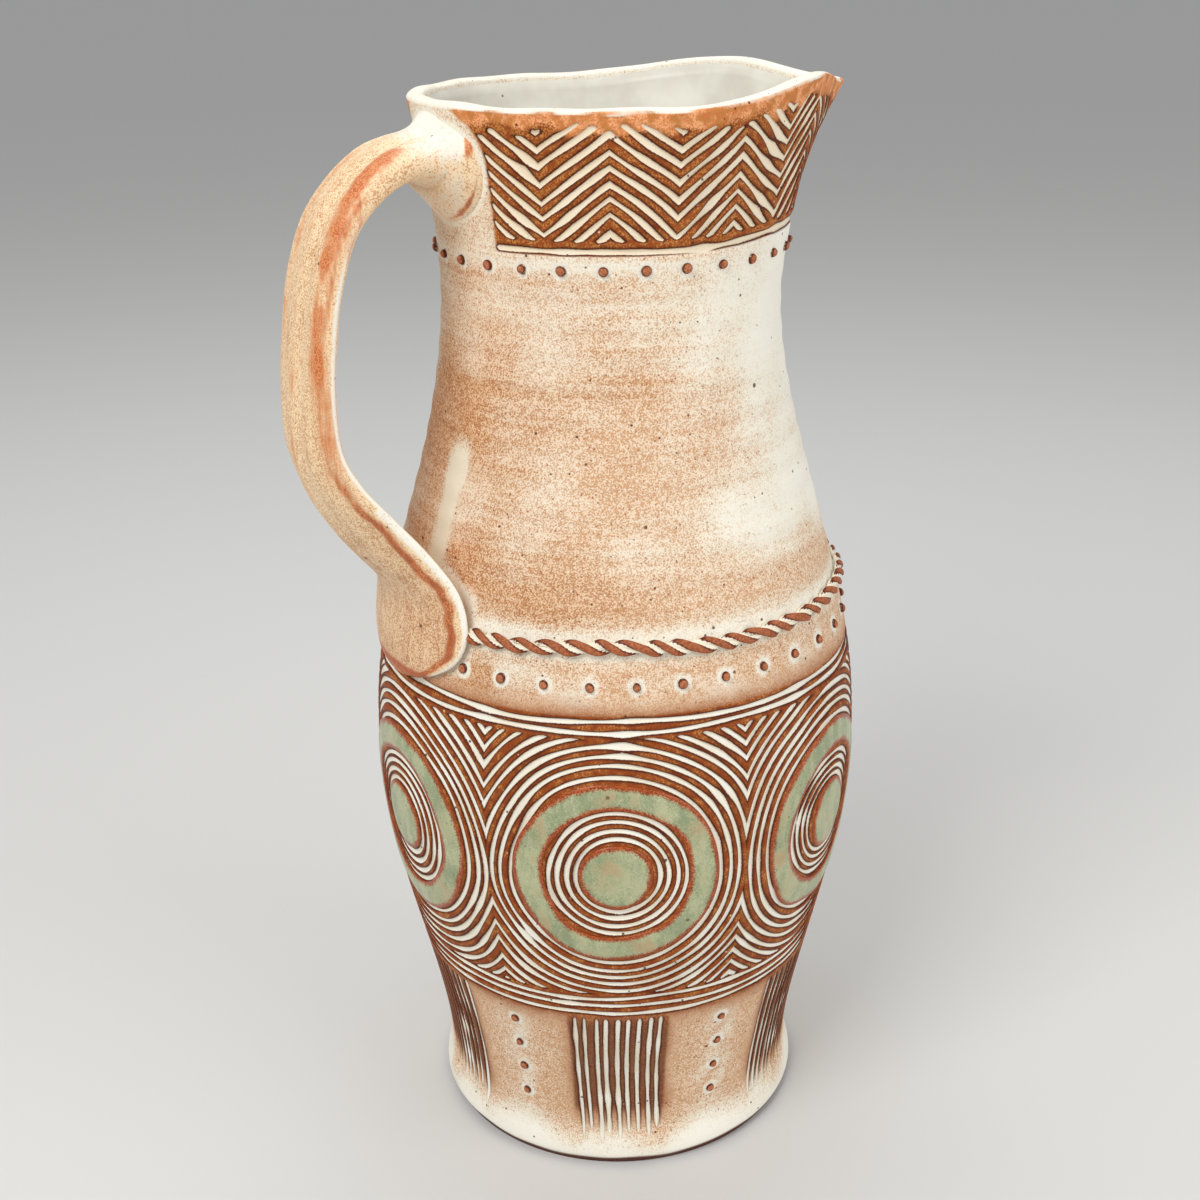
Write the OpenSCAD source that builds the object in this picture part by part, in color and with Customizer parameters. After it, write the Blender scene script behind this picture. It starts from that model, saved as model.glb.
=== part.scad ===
// Hand-thrown stoneware jug with a pulled spout, a strap handle, applied rope and nibs, and glaze fields.
// Millimetres. The origin is the centre of the base on the axis of the body, +Z is up,
// the handle stands out along -X and the spout points along +X, turned a little by spout_turn.

/* [Body] */
// Height of the rim above the table, away from the spout
rim_h = 282.6; // [250:0.1:320]
// Outside radius of the rim
rim_r = 49.2; // [44:0.1:56]
// Height of the narrowest part of the neck
neck_h = 236; // [228:1:244]
// Outside radius of the neck
neck_r = 43.1; // [38:0.1:48]
// Height of the widest part of the belly
belly_h = 112; // [95:1:125]
// Outside radius of the belly
belly_r = 65.9; // [58:0.1:74]
// Height of the waist above the foot
waist_h = 12; // [9:0.5:18]
// Outside radius of the waist above the foot
waist_r = 50.3; // [46:0.1:56]
// Outside radius of the foot's flared lip
foot_r = 52; // [47:0.5:58]
// Height of the foot's lip above the table
foot_lip_h = 3; // [2:0.25:5]
// How far the unglazed bevel under the lip draws in
foot_bevel = 1.6; // [0.8:0.1:3]
// Thickness of the wall
wall = 5.6; // [4:0.1:8]
// Thickness of the wall at the lip
lip_t = 4.4; // [3:0.1:5.5]
// Thickness of the floor
floor_t = 9; // [6:0.5:12]
// Radius of the corner between floor and wall inside
corner_r = 14; // [8:1:20]
// Fullness of the flank between waist and belly, where 1 is an even curve
flank_power = 0.9; // [0.8:0.01:1.1]
// Fullness of the shoulder, where 1 is an even curve
shoulder_power = 1.08; // [0.95:0.01:1.2]
// Sharpness of the flare towards the rim
flare_power = 1.6; // [1.2:0.05:2]
// Height where the even lower wall meets the drawn neck
join_h = 212; // [205:1:216]
// Thickness of the liner glaze inside
glaze_t = 0.5; // [0.4:0.1:1]
// How far below the top of the lip the liner glaze ends
liner_drop = 3.5; // [3:0.5:8]

/* [Spout] */
// How far the tip of the spout stands out from the rim
spout_out = 13.4; // [8:0.1:20]
// How far round from straight opposite the handle the spout was pulled, in degrees
spout_turn = -12; // [-20:1:20]
// Height where the throat of the spout starts
throat_h = 231; // [224:1:240]
// Angle over which the spout's wall falls away from the tip, in degrees
spout_spread = 16; // [12:1:24]
// Rise of the rim's two shoulders beside the spout
shoulder_rise = 4.3; // [0:0.1:7]
// Angle from the spout to the top of each shoulder, in degrees
shoulder_turn = 32; // [28:1:44]
// Lean of the rim, the height by which its far side stands above the middle
rim_lean = 0.7; // [0:0.1:2]
// Direction towards which the rim leans up, in degrees
rim_lean_turn = 65; // [0:5:360]

/* [Handle] */
// Distance from the rim down to the middle of the handle's root
root_drop = 13.6; // [11.6:0.5:16.6]
// Height of the handle's lower end on the belly
tail_h = 145.5; // [140:0.5:150]
// Distance from the wall to the middle of the strap
handle_out = 38.6; // [30:0.1:46]
// Width of the strap
strap_w = 26.5; // [22:0.1:29]
// Thickness of the strap
strap_t = 7; // [6:0.1:8]

/* [Rope] */
// Height of the rope of twisted clay round the belly
rope_h = 160; // [156:1:168]
// Width of the rope along the wall
rope_w = 3.8; // [3:0.1:4.6]
// Height by which the pressed-on rope stands out from the wall
rope_proud = 2.4; // [1.8:0.1:3]
// Number of full twists in the rope
rope_twists = 26; // [22:1:34]
// Angle between the middle of the handle's lower end and each end of the rope, in degrees
rope_gap_turn = 20; // [19:1:26]

/* [Nibs] */
// Radius of a clay nib
nib_r = 1.3; // [1:0.1:1.6]
// Distance from the rim down to the row of nibs on the neck
neck_nib_drop = 36.6; // [35.6:0.5:39.6]
// Number of nibs round the neck
neck_nib_count = 28; // [20:1:36]
// Height of the row of nibs under the rope
belt_nib_h = 151; // [149:1:153]
// Number of nibs in the row under the rope
belt_nib_count = 31; // [22:1:38]
// Angle between the middle of the handle's lower end and each end of the belt row, in degrees
belt_gap_turn = 23; // [21:1:28]
// Distance between nibs in the columns above the foot
column_step = 9; // [7:0.5:10]
// Number of nibs in each column above the foot
column_nib_count = 4; // [3:1:4]
// Height of the lowest nib in each column
column_nib_h = 20; // [18:1:22]

/* [Glaze fields] */
// Number of roundels round the belly
roundel_count = 6; // [4:1:6]
// Least distance from the green rings up to the nibs of the belt row
belt_clear = 22.3; // [18:0.1:25]
// Least distance from the green rings up to the handle's lower end
tail_clear = 18.1; // [15:0.1:21]
// Outside radius of each roundel's green ring
field_r = 26.4; // [22:0.2:28]
// Width of each roundel's green ring
field_w = 7.4; // [5:0.2:9]
// Radius of each roundel's green centre
centre_r = 9.4; // [6:0.2:12]
// Thickness of the green glaze
field_t = 0.4; // [0.3:0.05:0.8]
// Clearance between the green glaze and the wall
field_gap = 0.12; // [0.1:0.01:0.3]

/* [Carving] */
// Width of a carved groove
groove_w = 1.4; // [1:0.1:1.8]
// Depth of a carved groove
groove_t = 0.6; // [0.4:0.05:0.9]
// Radius of the groove round each green centre
inner_groove_r = 13; // [12:0.1:16]
// Distance from a green ring's edge to the first groove round it
outer_groove_out = 1.3; // [1:0.1:2]
// Distance between the grooves round each green ring
outer_groove_step = 5.4; // [5:0.1:5.8]
// Number of grooves round each green ring
outer_groove_count = 4; // [2:1:4]
// Distance from the roundels' centres down to the lower border groove
border_low_out = 41.1; // [40:0.1:44]
// Distance from the roundels' centres up to the upper border groove
border_high_out = 39.1; // [38:0.1:40]
// Angle between the upright grooves under each roundel, in degrees
reed_turn = 6; // [5:0.5:7]
// Number of upright grooves under each roundel
reed_count = 5; // [3:1:5]
// Height at which the upright grooves start
reed_low = 13; // [10:0.5:20]
// Distance from the lower border groove to the top of the upright grooves
reed_gap = 7.3; // [4:0.1:10]
// Distance from the rim down to the border groove on the neck
neck_border_drop = 32; // [31:0.5:33]
// Distance from the rim down to the points of the lower zigzag groove
zigzag_drop = 16.6; // [15:0.1:18]
// Distance between the two zigzag grooves
zigzag_gap = 11.4; // [8:0.1:12]
// Height of the zigzag's teeth
zigzag_rise = 12; // [8:0.5:12]
// Number of the zigzag's teeth round the neck
zigzag_count = 9; // [9:9:18]
// Angle between the middle of the handle's root and each end of the neck's grooves, in degrees
root_gap_turn = 22; // [20:1:28]

/* [Hidden] */

// Colours of the fired clay and the glazes
clay = [0.80, 0.66, 0.52];
rust = [0.55, 0.25, 0.12];
white_glaze = [0.90, 0.89, 0.84];
green_glaze = [0.56, 0.65, 0.51];

// Steps of the lower wall and of its inside corner, and how closely they crowd towards the foot
lower_steps = 34;
corner_steps = 6;
foot_crowding = 1.15;
// Sides of the turned lower wall
turned_sides = 96;
// Rows of the neck inside, and outside below its border groove
neck_rows = 9;
plain_rows = 5;
// Divisions of the neck, and the angle from the spout within which each is split and into how many
neck_sides = 72;
spout_fine_turn = 20;
spout_splits = 3;
// Angle that rounds off the tip of the spout
tip_turn = 3;
// Share by which the throat's wall widens from the rim down to where it starts
throat_widening_share = 0.7;
// Sharpness with which the throat leans out towards the tip
throat_power = 1.7;
// Angle from the spout at which the rim's shoulders have died away
shoulder_end_turn = 84;
// Share of the shoulders' rise that the lip keeps at the tip of the spout
tip_rise_share = 0.15;
// Height of the rounding on the lip, and the shares of the wall at which its top starts and ends
lip_round = 1.7;
lip_top_shares = [0.3, 0.7];
// Slack at a seat between two faceted faces
seat = 0.02;
// How far the neck's facets stand in from both faces of the turned wall where they join
join_step = 0.12;
// Angle over which the neck's grooves run out beside the handle's root
root_fade_turn = 5;
// Angle between the arcs of neighbouring roundels where they meet
mitre_turn = 2.4;
// How far a cut runs past the surface that it opens
overrun = 1;
// Sides of the grooves round the roundels, and steps of the layer that the grooves are cut into
groove_sides = 48;
layer_steps = 10;
// Clearance between the rope and the wall
rope_gap = 0.08;
// Divisions of the handle's section and cuts between two of its stations
handle_sides = 16;
handle_cuts = 2;
// Flatness of the strap's section, where 2 is an ellipse
strap_power = 2.6;
// Length, in stations, over which the strap's direction is taken
run_stations = 0.2;
// Rings in each twist of the rope and sides of a strand
rings_per_twist = 6;
strand_sides = 5;
// Sides of a nib
nib_sides = 24;
// Sides of a roundel's glaze, steps across its ring, and shares of its centre's radius
glaze_sides = 20;
ring_steps = 2;
centre_shares = [0.35, 0.7, 1];

// Heights of the handle's root and of the neck's nibs and grooves, which keep their distance from the rim
root_h = rim_h - root_drop;
neck_nib_h = rim_h - neck_nib_drop;
neck_border_h = rim_h - neck_border_drop;
zigzag_h = rim_h - zigzag_drop;
// Height of the roundels' centres, which stay clear of the belt row and of the handle's lower end
roundel_h = min(belt_nib_h - nib_r - belt_clear, tail_h - tail_clear) - field_r;
// Lowest and highest part of the ground round the roundels
ground_low = roundel_h - border_low_out + groove_w;
ground_high = roundel_h + border_high_out - groove_w;

// Even rise from 0 to 1 with level ends
function ease(t) = (1 - cos(180 * t)) / 2;
function clamp01(t) = max(0, min(1, t));

// Radius of the turned profile at height z
function profile_r(z) =
    z < foot_lip_h ? foot_r - foot_bevel * (1 - z / foot_lip_h) :
    z < waist_h ? foot_r + (waist_r - foot_r) * ease((z - foot_lip_h) / (waist_h - foot_lip_h)) :
    z < belly_h ? waist_r + (belly_r - waist_r) * ease(pow((z - waist_h) / (belly_h - waist_h), flank_power)) :
    z < neck_h ? belly_r + (neck_r - belly_r) * ease(pow((z - belly_h) / (neck_h - belly_h), shoulder_power)) :
    neck_r + (rim_r - neck_r) * pow((z - neck_h) / (rim_h - neck_h), flare_power);

// Thickness of the wall at height z, drawn out thinner between the neck and the lip
function wall_at(z) = wall + (lip_t - wall) * ease(clamp01((z - neck_h) / (rim_h - neck_h)));

// Radius of the cavity at height z, with a round corner above the floor
function cavity_r(z) =
    let (up = z - floor_t, drawn = profile_r(max(z, waist_h)) - wall_at(z))
    up < corner_r ? drawn - corner_r + sqrt(max(0, up * (2 * corner_r - up))) : drawn;

// Angle from the spout, from -180 to 180, of the direction a
function from_spout(a) = let (u = a - spout_turn) u - 360 * round(u / 360);

// How far the wall stands out beyond its profile at u degrees from the spout and height z
function pour_out(u, z) =
    let (t = clamp01((z - throat_h) / (rim_h - throat_h)),
         spread = spout_spread * (1 + throat_widening_share * (1 - t)),
         fall = sqrt(u * u + tip_turn * tip_turn) - tip_turn)
    spout_out * pow(t, throat_power) * exp(-fall / spread);

// Height of the rim at u degrees from the spout
function rim_z(u) =
    let (side = abs(u),
         hump = side < shoulder_turn ? tip_rise_share + (1 - tip_rise_share) * ease(side / shoulder_turn)
              : 1 - ease(clamp01((side - shoulder_turn) / (shoulder_end_turn - shoulder_turn))))
    rim_h + rim_lean * cos(u + spout_turn - rim_lean_turn) + shoulder_rise * hump;

// Radius of the outside of the jug in direction a at height z
function skin_r(a, z) = profile_r(z) + pour_out(from_spout(a), z);

function polar(r, a, z) = [r * cos(a), r * sin(a), z];

// Faces of a closed loop of rows, each of n points, that goes round from the last row to the first
function torus_faces(rows, n) = [
    for (j = [0:rows - 1], i = [0:n - 1])
        let (k = (j + 1) % rows, m = (i + 1) % n, a = j * n + i, b = j * n + m, c = k * n + m, d = k * n + i)
        each [[a, c, b], [a, d, c]]
];

// Faces of a tube of rows, each of n points, with flat ends
function tube_faces(rows, n) = [
    for (j = [0:rows - 2], i = [0:n - 1])
        let (m = (i + 1) % n, a = j * n + i, b = j * n + m, c = (j + 1) * n + m, d = (j + 1) * n + i)
        each [[a, c, b], [a, d, c]],
    for (i = [1:n - 2]) [0, i, i + 1],
    for (i = [1:n - 2]) let (z = (rows - 1) * n) [z, z + i + 1, z + i]
];

// Directions of the neck's divisions, closer together at the spout
neck_turns = [for (i = [0:neck_sides - 1])
    let (turn = 360 / neck_sides, near = abs(from_spout((i + 0.5) * turn)) < spout_fine_turn)
    for (k = near ? [0:spout_splits - 1] : [0]) (i + k / spout_splits) * turn];

// Height, in direction a, of a level of a piece whose top lies the given drop below the rim, where the
// levels above the neck rise and fall with the rim
function lifted(a, level, drop) = level < neck_h ? level :
    neck_h + (level - neck_h) * (rim_z(from_spout(a)) - drop - neck_h) / (rim_h - drop - neck_h);

// How far direction a lies along a tooth of the zigzag, from 0 at its upper point to 1 at its lower
function tooth(a) = let (t = a * zigzag_count / 360) 2 * abs(t - round(t));

// Share of its full depth that a groove on the neck has in direction a, none at the handle's root
function root_room(a) = clamp01((abs(abs(a - 180)) - root_gap_turn) / root_fade_turn);

// One row round the neck at a level, inset by a share of the wall, with a share of the zigzag's teeth and a cut
function neck_row(level, inset, drop, teeth = 0, cut = 0) = [
    for (a = neck_turns)
        let (z = lifted(a, level - teeth * zigzag_rise * tooth(a), drop))
        polar(skin_r(a, z) - inset * wall_at(z) - cut * root_room(a), a, z)
];
function even_rows(inset, drop) = [for (j = [1:neck_rows])
    neck_row(join_h + (rim_h - drop - join_h) * j / neck_rows, inset, drop)];

// Rows of the outside above the join: each level, the share of the teeth it has and of the groove's depth
border_low_edge = neck_border_h - groove_w / 2;
border_high_edge = neck_border_h + groove_w / 2;
slot = groove_w / 2 * norm([1, zigzag_rise * zigzag_count / neck_r / PI]);
zigzag_top = zigzag_h + zigzag_gap + slot;
function slot_levels(h) = [[h - slot, 1, 0], [h, 1, 1], [h + slot, 1, 0]];
outside_levels = concat(
    [for (j = [1:plain_rows]) [join_h + (border_low_edge - join_h) * j / plain_rows, 0, 0]],
    [[neck_border_h, 0, 1]],
    [for (t = [0, 1 / 3, 2 / 3]) [border_high_edge + (zigzag_h - slot - border_high_edge) * t, t, 0]],
    slot_levels(zigzag_h),
    [[zigzag_h + zigzag_gap / 2, 1, 0]],
    slot_levels(zigzag_h + zigzag_gap),
    [for (t = [1 / 2, 1]) [zigzag_top + (rim_h - lip_round - zigzag_top) * t, 1 - t, 0]]);
function outside_rows(inset, depth) = [for (q = outside_levels)
    neck_row(q[0], inset, lip_round, q[1], q[2] * depth)];

// Closed skin of the neck between its outer rows and an inner share of the wall, narrower at the join
module neck_shell(outer_rows, outer_share, inner_share, drop, rounding) {
    rows = concat(
        [neck_row(join_h, outer_share + join_step / wall, drop)],
        outer_rows,
        [for (s = lip_top_shares) neck_row(rim_h - drop, outer_share + s * (inner_share - outer_share), drop)],
        let (inner = even_rows(inner_share, drop + rounding)) [for (j = [neck_rows - 1:-1:0]) inner[j]],
        [neck_row(join_h, inner_share - join_step / wall, drop)]);
    polyhedron([for (row = rows) each row], torus_faces(len(rows), len(neck_turns)), convexity = 10);
}

// Heights of the turned lower wall, from the foot's lip up to the join
lower_heights = concat([0, foot_lip_h], [for (i = [1:lower_steps])
    foot_lip_h + (join_h - foot_lip_h) * pow(i / lower_steps, foot_crowding)]);
// Heights of the cavity, from the floor through its corner up to the join
wall_steps = lower_steps - corner_steps;
cavity_heights = concat([for (i = [0:corner_steps]) floor_t + corner_r * ease(i / corner_steps / 2) * 2],
    [for (i = [1:wall_steps]) floor_t + corner_r + (join_h - floor_t - corner_r) * i / wall_steps]);
cavity_rows = len(cavity_heights);

module lower_wall() {
    rotate_extrude($fn = turned_sides)
        polygon(concat([[0, 0]], [for (z = lower_heights) [profile_r(z), z]],
            [for (i = [cavity_rows - 1:-1:0]) [cavity_r(cavity_heights[i]), cavity_heights[i]]],
            [[0, floor_t]]));
}

// Everything inside the outside surface, for seating the handle
module jug_blank() {
    rotate_extrude($fn = turned_sides)
        polygon(concat([[0, 0]], [for (z = lower_heights) [profile_r(z) + seat, z]], [[0, join_h]]));
    rows = concat([neck_row(join_h, -seat / wall, lip_round)], outside_rows(-seat / wall, 0),
        [neck_row(rim_h, lip_top_shares[0], 0)]);
    polyhedron([for (row = rows) each row], tube_faces(len(rows), len(neck_turns)), convexity = 6);
}

// The layer of the lower wall that the grooves are cut into, between two heights
module skin_layer(low, high) {
    heights = [for (i = [0:layer_steps]) low + (high - low) * i / layer_steps];
    rotate_extrude($fn = turned_sides)
        polygon(concat([for (z = heights) [profile_r(z) - groove_t, z]],
            [for (i = [layer_steps:-1:0]) [profile_r(heights[i]) + overrun, heights[i]]]));
}

// A groove level round the belly at height z
module border_groove(z) {
    low = z - groove_w / 2;
    high = z + groove_w / 2;
    rotate_extrude($fn = turned_sides)
        polygon([[profile_r(low) - groove_t, low], [profile_r(low) + overrun, low],
            [profile_r(high) + overrun, high], [profile_r(high) - groove_t, high]]);
}

// A cutter for a groove at the distance d round the roundel in direction 0
module round_cutter(d) {
    translate([0, 0, roundel_h])
        rotate([0, 90, 0])
            difference() {
                cylinder(r = d + groove_w / 2, h = belly_r + 2 * overrun, $fn = groove_sides);
                translate([0, 0, -overrun])
                    cylinder(r = d - groove_w / 2, h = belly_r + 4 * overrun, $fn = groove_sides);
            }
}

// The sector of the ground that belongs to the roundel in direction 0
module ground_sector() {
    half = 180 / roundel_count - mitre_turn / 2;
    reach = 2 * belly_r;
    translate([0, 0, ground_low])
        linear_extrude(ground_high - ground_low)
            polygon([[0, 0], reach * [cos(half), -sin(half)], reach * [cos(half), sin(half)]]);
}

// The main lines of the carving below the neck
module carving() {
    border_groove(roundel_h - border_low_out);
    border_groove(roundel_h + border_high_out);
    for (i = [0:roundel_count - 1])
        rotate([0, 0, 360 * i / roundel_count])
            intersection() {
                union() {
                    round_cutter(inner_groove_r);
                    for (k = [0:outer_groove_count - 1])
                        round_cutter(field_r + outer_groove_out + k * outer_groove_step);
                }
                ground_sector();
                skin_layer(ground_low, ground_high);
            }
    reed_high = roundel_h - border_low_out - reed_gap;
    intersection() {
        for (i = [0:roundel_count - 1], k = [0:reed_count - 1])
            rotate([0, 0, 360 * i / roundel_count + (k - (reed_count - 1) / 2) * reed_turn])
                translate([waist_r / 2, -groove_w / 2, reed_low])
                    cube([belly_r, groove_w, reed_high - reed_low]);
        skin_layer(reed_low - overrun, reed_high + overrun);
    }
}

module body() {
    color(clay) {
        difference() {
            lower_wall();
            carving();
        }
        neck_shell(outside_rows(0, groove_t), 0, 1, 0, lip_round);
    }
}

// The glaze lies on the cavity's wall, from the floor to just under the lip
module liner_glaze() {
    color(white_glaze) {
        rotate_extrude($fn = turned_sides)
            polygon(concat([[0, floor_t]],
                [for (z = cavity_heights) [cavity_r(z), z]],
                [for (i = [cavity_rows - 1:-1:0])
                    let (z = cavity_heights[i]) [cavity_r(z) - glaze_t, max(z, floor_t + glaze_t)]],
                [[0, floor_t + glaze_t]]));
        neck_shell(even_rows(1 + seat / wall, liner_drop), 1 + seat / wall, 1 + glaze_t / wall, liner_drop, 0);
    }
}

// Stations of the handle from its root to its tail, each with shares of the height between root and tail,
// of the distance out from the wall, of half the strap's width, of half its thickness, and of its whole
// thickness for the depth by which its edges curl in
handle_shares = [
    [0.993, -0.08, 1.28, 3.55, 0.00],
    [0.997, 0.00, 1.20, 2.62, 0.00],
    [1.005, 0.08, 1.10, 1.86, 0.00],
    [1.006, 0.22, 1.01, 1.44, 0.02],
    [0.992, 0.38, 0.98, 1.30, 0.05],
    [0.953, 0.58, 0.99, 1.18, 0.08],
    [0.896, 0.76, 1.02, 1.08, 0.10],
    [0.818, 0.89, 1.05, 1.02, 0.13],
    [0.732, 0.97, 1.06, 1.00, 0.14],
    [0.615, 1.00, 1.07, 1.00, 0.19],
    [0.495, 0.96, 1.11, 1.00, 0.42],
    [0.405, 0.82, 1.20, 1.00, 0.70],
    [0.322, 0.60, 1.34, 0.97, 0.95],
    [0.258, 0.40, 1.51, 0.90, 1.05],
    [0.210, 0.24, 1.67, 0.82, 1.00],
    [0.178, 0.15, 1.82, 0.76, 0.94],
    [0.142, 0.09, 1.92, 0.70, 0.88],
    [0.104, 0.065, 1.95, 0.66, 0.84],
    [0.062, 0.05, 1.81, 0.60, 0.68],
    [0.029, 0.04, 1.48, 0.52, 0.43],
    [0.000, 0.03, 0.96, 0.42, 0.16],
    [-0.014, 0.02, 0.45, 0.30, 0.04]
];

// Smooth curve through four values of a row of stations, at the share t between the middle two
function through(a, b, c, d, t) =
    0.5 * (2 * b + (c - a) * t + (2 * a - 5 * b + 4 * c - d) * t * t + (3 * b - a - 3 * c + d) * t * t * t);
function station(list, s) =
    let (n = len(list), i = min(floor(s), n - 2), t = s - i)
    through(list[max(i - 1, 0)], list[i], list[i + 1], list[min(i + 2, n - 1)], t);

// Middle of the strap, in its own plane, at the station s
function strap_mid(s) =
    let (q = station(handle_shares, s), z = tail_h + q[0] * (root_h - tail_h))
    [profile_r(z) + q[1] * handle_out, z];

// Section of the strap at the station s, with its edges curled in towards the wall
function strap_ring(s) =
    let (last = len(handle_shares) - 1, q = station(handle_shares, s), mid = strap_mid(s),
         ahead = strap_mid(min(s + run_stations, last)), behind = strap_mid(max(s - run_stations, 0)),
         run = (ahead - behind) / norm(ahead - behind), half_w = q[2] * strap_w / 2)
    [for (i = [0:handle_sides - 1])
        let (a = -360 * i / handle_sides,
             across = sign(cos(a)) * pow(abs(cos(a)), 2 / strap_power),
             n = q[3] * strap_t / 2 * sign(sin(a)) * pow(abs(sin(a)), 2 / strap_power),
             lift = n - q[4] * strap_t * across * across)
        [lift * run[1] - mid[0], half_w * across, mid[1] + lift * run[0]]];

module handle() {
    last = len(handle_shares) - 1;
    rings = [for (k = [0:last * handle_cuts]) strap_ring(k / handle_cuts)];
    color(clay)
        difference() {
            polyhedron([for (ring = rings) each ring], tube_faces(len(rings), handle_sides), convexity = 8);
            jug_blank();
        }
}

// One strand of the rope, wound round the rope's middle line and pressed flat against the wall
module rope_strand(phase) {
    start = -180 + rope_gap_turn;
    stop = 180 - rope_gap_turn;
    count = rope_twists * rings_per_twist;
    press = rope_proud / rope_w;
    // The strand is drawn thinner than half the rope, so that the straight runs between its rings don't touch
    strand_r = rope_w / 4 * cos(180 / rings_per_twist) - seat;
    mid_r = profile_r(rope_h) + rope_proud / 2 + rope_gap;
    lean = (profile_r(rope_h + rope_w) - profile_r(rope_h - rope_w)) / (2 * rope_w);
    points = [for (k = [0:count])
        let (a = start + (stop - start) * k / count, twist = 360 * k / rings_per_twist + phase)
        for (i = [0:strand_sides - 1])
            let (c = -360 * i / strand_sides,
                 up = rope_w / 4 * cos(twist) + strand_r * cos(c),
                 out = press * (rope_w / 4 * sin(twist) + strand_r * sin(c)))
            polar(mid_r + out + lean * up, a, rope_h + up)];
    color(rust) polyhedron(points, tube_faces(count + 1, strand_sides), convexity = 8);
}

module rope_strand_a() { rope_strand(0); }
module rope_strand_b() { rope_strand(180); }

// One nib, a half ball whose flat side lies on the wall in direction a at height z
module nib(a, z) {
    rise = (profile_r(z + nib_r) - profile_r(z - nib_r)) / (2 * nib_r);
    r = skin_r(a, z);
    step = nib_r / r * 180 / PI;
    swing = (skin_r(a + step, z) - skin_r(a - step, z)) / (2 * nib_r);
    translate(polar(r + seat, a, z))
        rotate([0, 0, a - atan(swing)])
            rotate([0, 90 + atan(rise), 0])
                rotate_extrude($fn = nib_sides)
                    intersection() {
                        circle(r = nib_r, $fn = nib_sides);
                        square(nib_r);
                    }
}

module neck_nibs() {
    color(rust)
        for (i = [0:neck_nib_count - 1])
            nib(360 * (i + 0.5) / neck_nib_count, neck_nib_h);
}

module belt_nibs() {
    color(rust)
        for (i = [0:belt_nib_count - 1])
            nib(-180 + belt_gap_turn + (360 - 2 * belt_gap_turn) * i / (belt_nib_count - 1), belt_nib_h);
}

module foot_nibs() {
    color(rust)
        for (i = [0:roundel_count - 1], j = [0:column_nib_count - 1])
            nib(360 * (i + 0.5) / roundel_count, column_nib_h + j * column_step);
}

// Point of a roundel's field, at the distance d and the clock angle c from the roundel's centre
function field_point(a, d, c, lift) =
    let (z = roundel_h + d * cos(c), r = profile_r(z))
    polar(r + lift, a + d * sin(c) / r * 180 / PI, z);

// A thin ring of glaze that follows the wall, between two distances from its centre
module glaze_ring(a, from_r, to_r) {
    across = [for (j = [0:ring_steps]) from_r + (to_r - from_r) * j / ring_steps];
    rows = concat(
        [for (d = across)
            [for (i = [0:glaze_sides - 1]) field_point(a, d, -360 * i / glaze_sides, field_gap)]],
        [for (j = [ring_steps:-1:0])
            [for (i = [0:glaze_sides - 1])
                field_point(a, across[j], -360 * i / glaze_sides, field_gap + field_t)]]);
    polyhedron([for (row = rows) each row], torus_faces(len(rows), glaze_sides), convexity = 4);
}

// A thin disc of glaze that follows the wall
module glaze_disc(a, to_r) {
    last = len(centre_shares) - 1;
    rows = concat(
        [for (s = centre_shares)
            [for (i = [0:glaze_sides - 1]) field_point(a, s * to_r, 360 * i / glaze_sides, field_gap)]],
        [for (k = [last:-1:0])
            [for (i = [0:glaze_sides - 1])
                field_point(a, centre_shares[k] * to_r, 360 * i / glaze_sides, field_gap + field_t)]]);
    polyhedron([for (row = rows) each row], tube_faces(len(rows), glaze_sides), convexity = 4);
}

module green_rings() {
    color(green_glaze)
        for (i = [0:roundel_count - 1])
            glaze_ring(360 * i / roundel_count, field_r - field_w, field_r);
}

module green_centres() {
    color(green_glaze)
        for (i = [0:roundel_count - 1])
            glaze_disc(360 * i / roundel_count, centre_r);
}

body();
liner_glaze();
handle();
rope_strand_a();
rope_strand_b();
neck_nibs();
belt_nibs();
foot_nibs();
green_rings();
green_centres();
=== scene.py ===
"""Hand-thrown stoneware jug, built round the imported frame.

It has a carved body, a strap handle, a rope, nibs, green glaze and a liner coat. Lengths are in
millimetres and angles in degrees until a mesh is made, where MM turns them into metres.
"""
import math
from functools import cache

import bpy
import numpy as np
from mathutils import Matrix, Vector


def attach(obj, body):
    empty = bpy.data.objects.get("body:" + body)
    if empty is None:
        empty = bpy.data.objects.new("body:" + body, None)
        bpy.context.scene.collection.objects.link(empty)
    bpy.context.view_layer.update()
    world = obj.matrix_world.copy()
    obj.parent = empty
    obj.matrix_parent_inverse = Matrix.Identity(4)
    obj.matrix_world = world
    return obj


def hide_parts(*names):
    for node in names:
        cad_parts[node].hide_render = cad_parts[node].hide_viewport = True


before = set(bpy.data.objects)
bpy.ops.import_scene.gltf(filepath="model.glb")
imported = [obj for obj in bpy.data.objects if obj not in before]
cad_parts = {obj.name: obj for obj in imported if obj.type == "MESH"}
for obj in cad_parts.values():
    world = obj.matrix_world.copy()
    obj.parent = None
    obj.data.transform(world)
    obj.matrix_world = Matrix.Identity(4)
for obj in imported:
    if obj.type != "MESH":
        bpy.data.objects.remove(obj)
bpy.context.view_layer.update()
MM = 0.001

# Body
RIM_H = 282.6
RIM_R = 49.2
NECK_H = 236.0
NECK_R = 43.1
BELLY_H = 112.0
BELLY_R = 65.9
WAIST_H = 12.0
WAIST_R = 50.3
FOOT_R = 52.0
FOOT_LIP_H = 3.0
FOOT_BEVEL = 1.6
WALL = 5.6
LIP_T = 4.4
FLOOR_T = 9.0
CORNER_R = 14.0
FLANK_POWER = 0.9
SHOULDER_POWER = 1.08
FLARE_POWER = 1.6
GLAZE_T = 0.5

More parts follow.
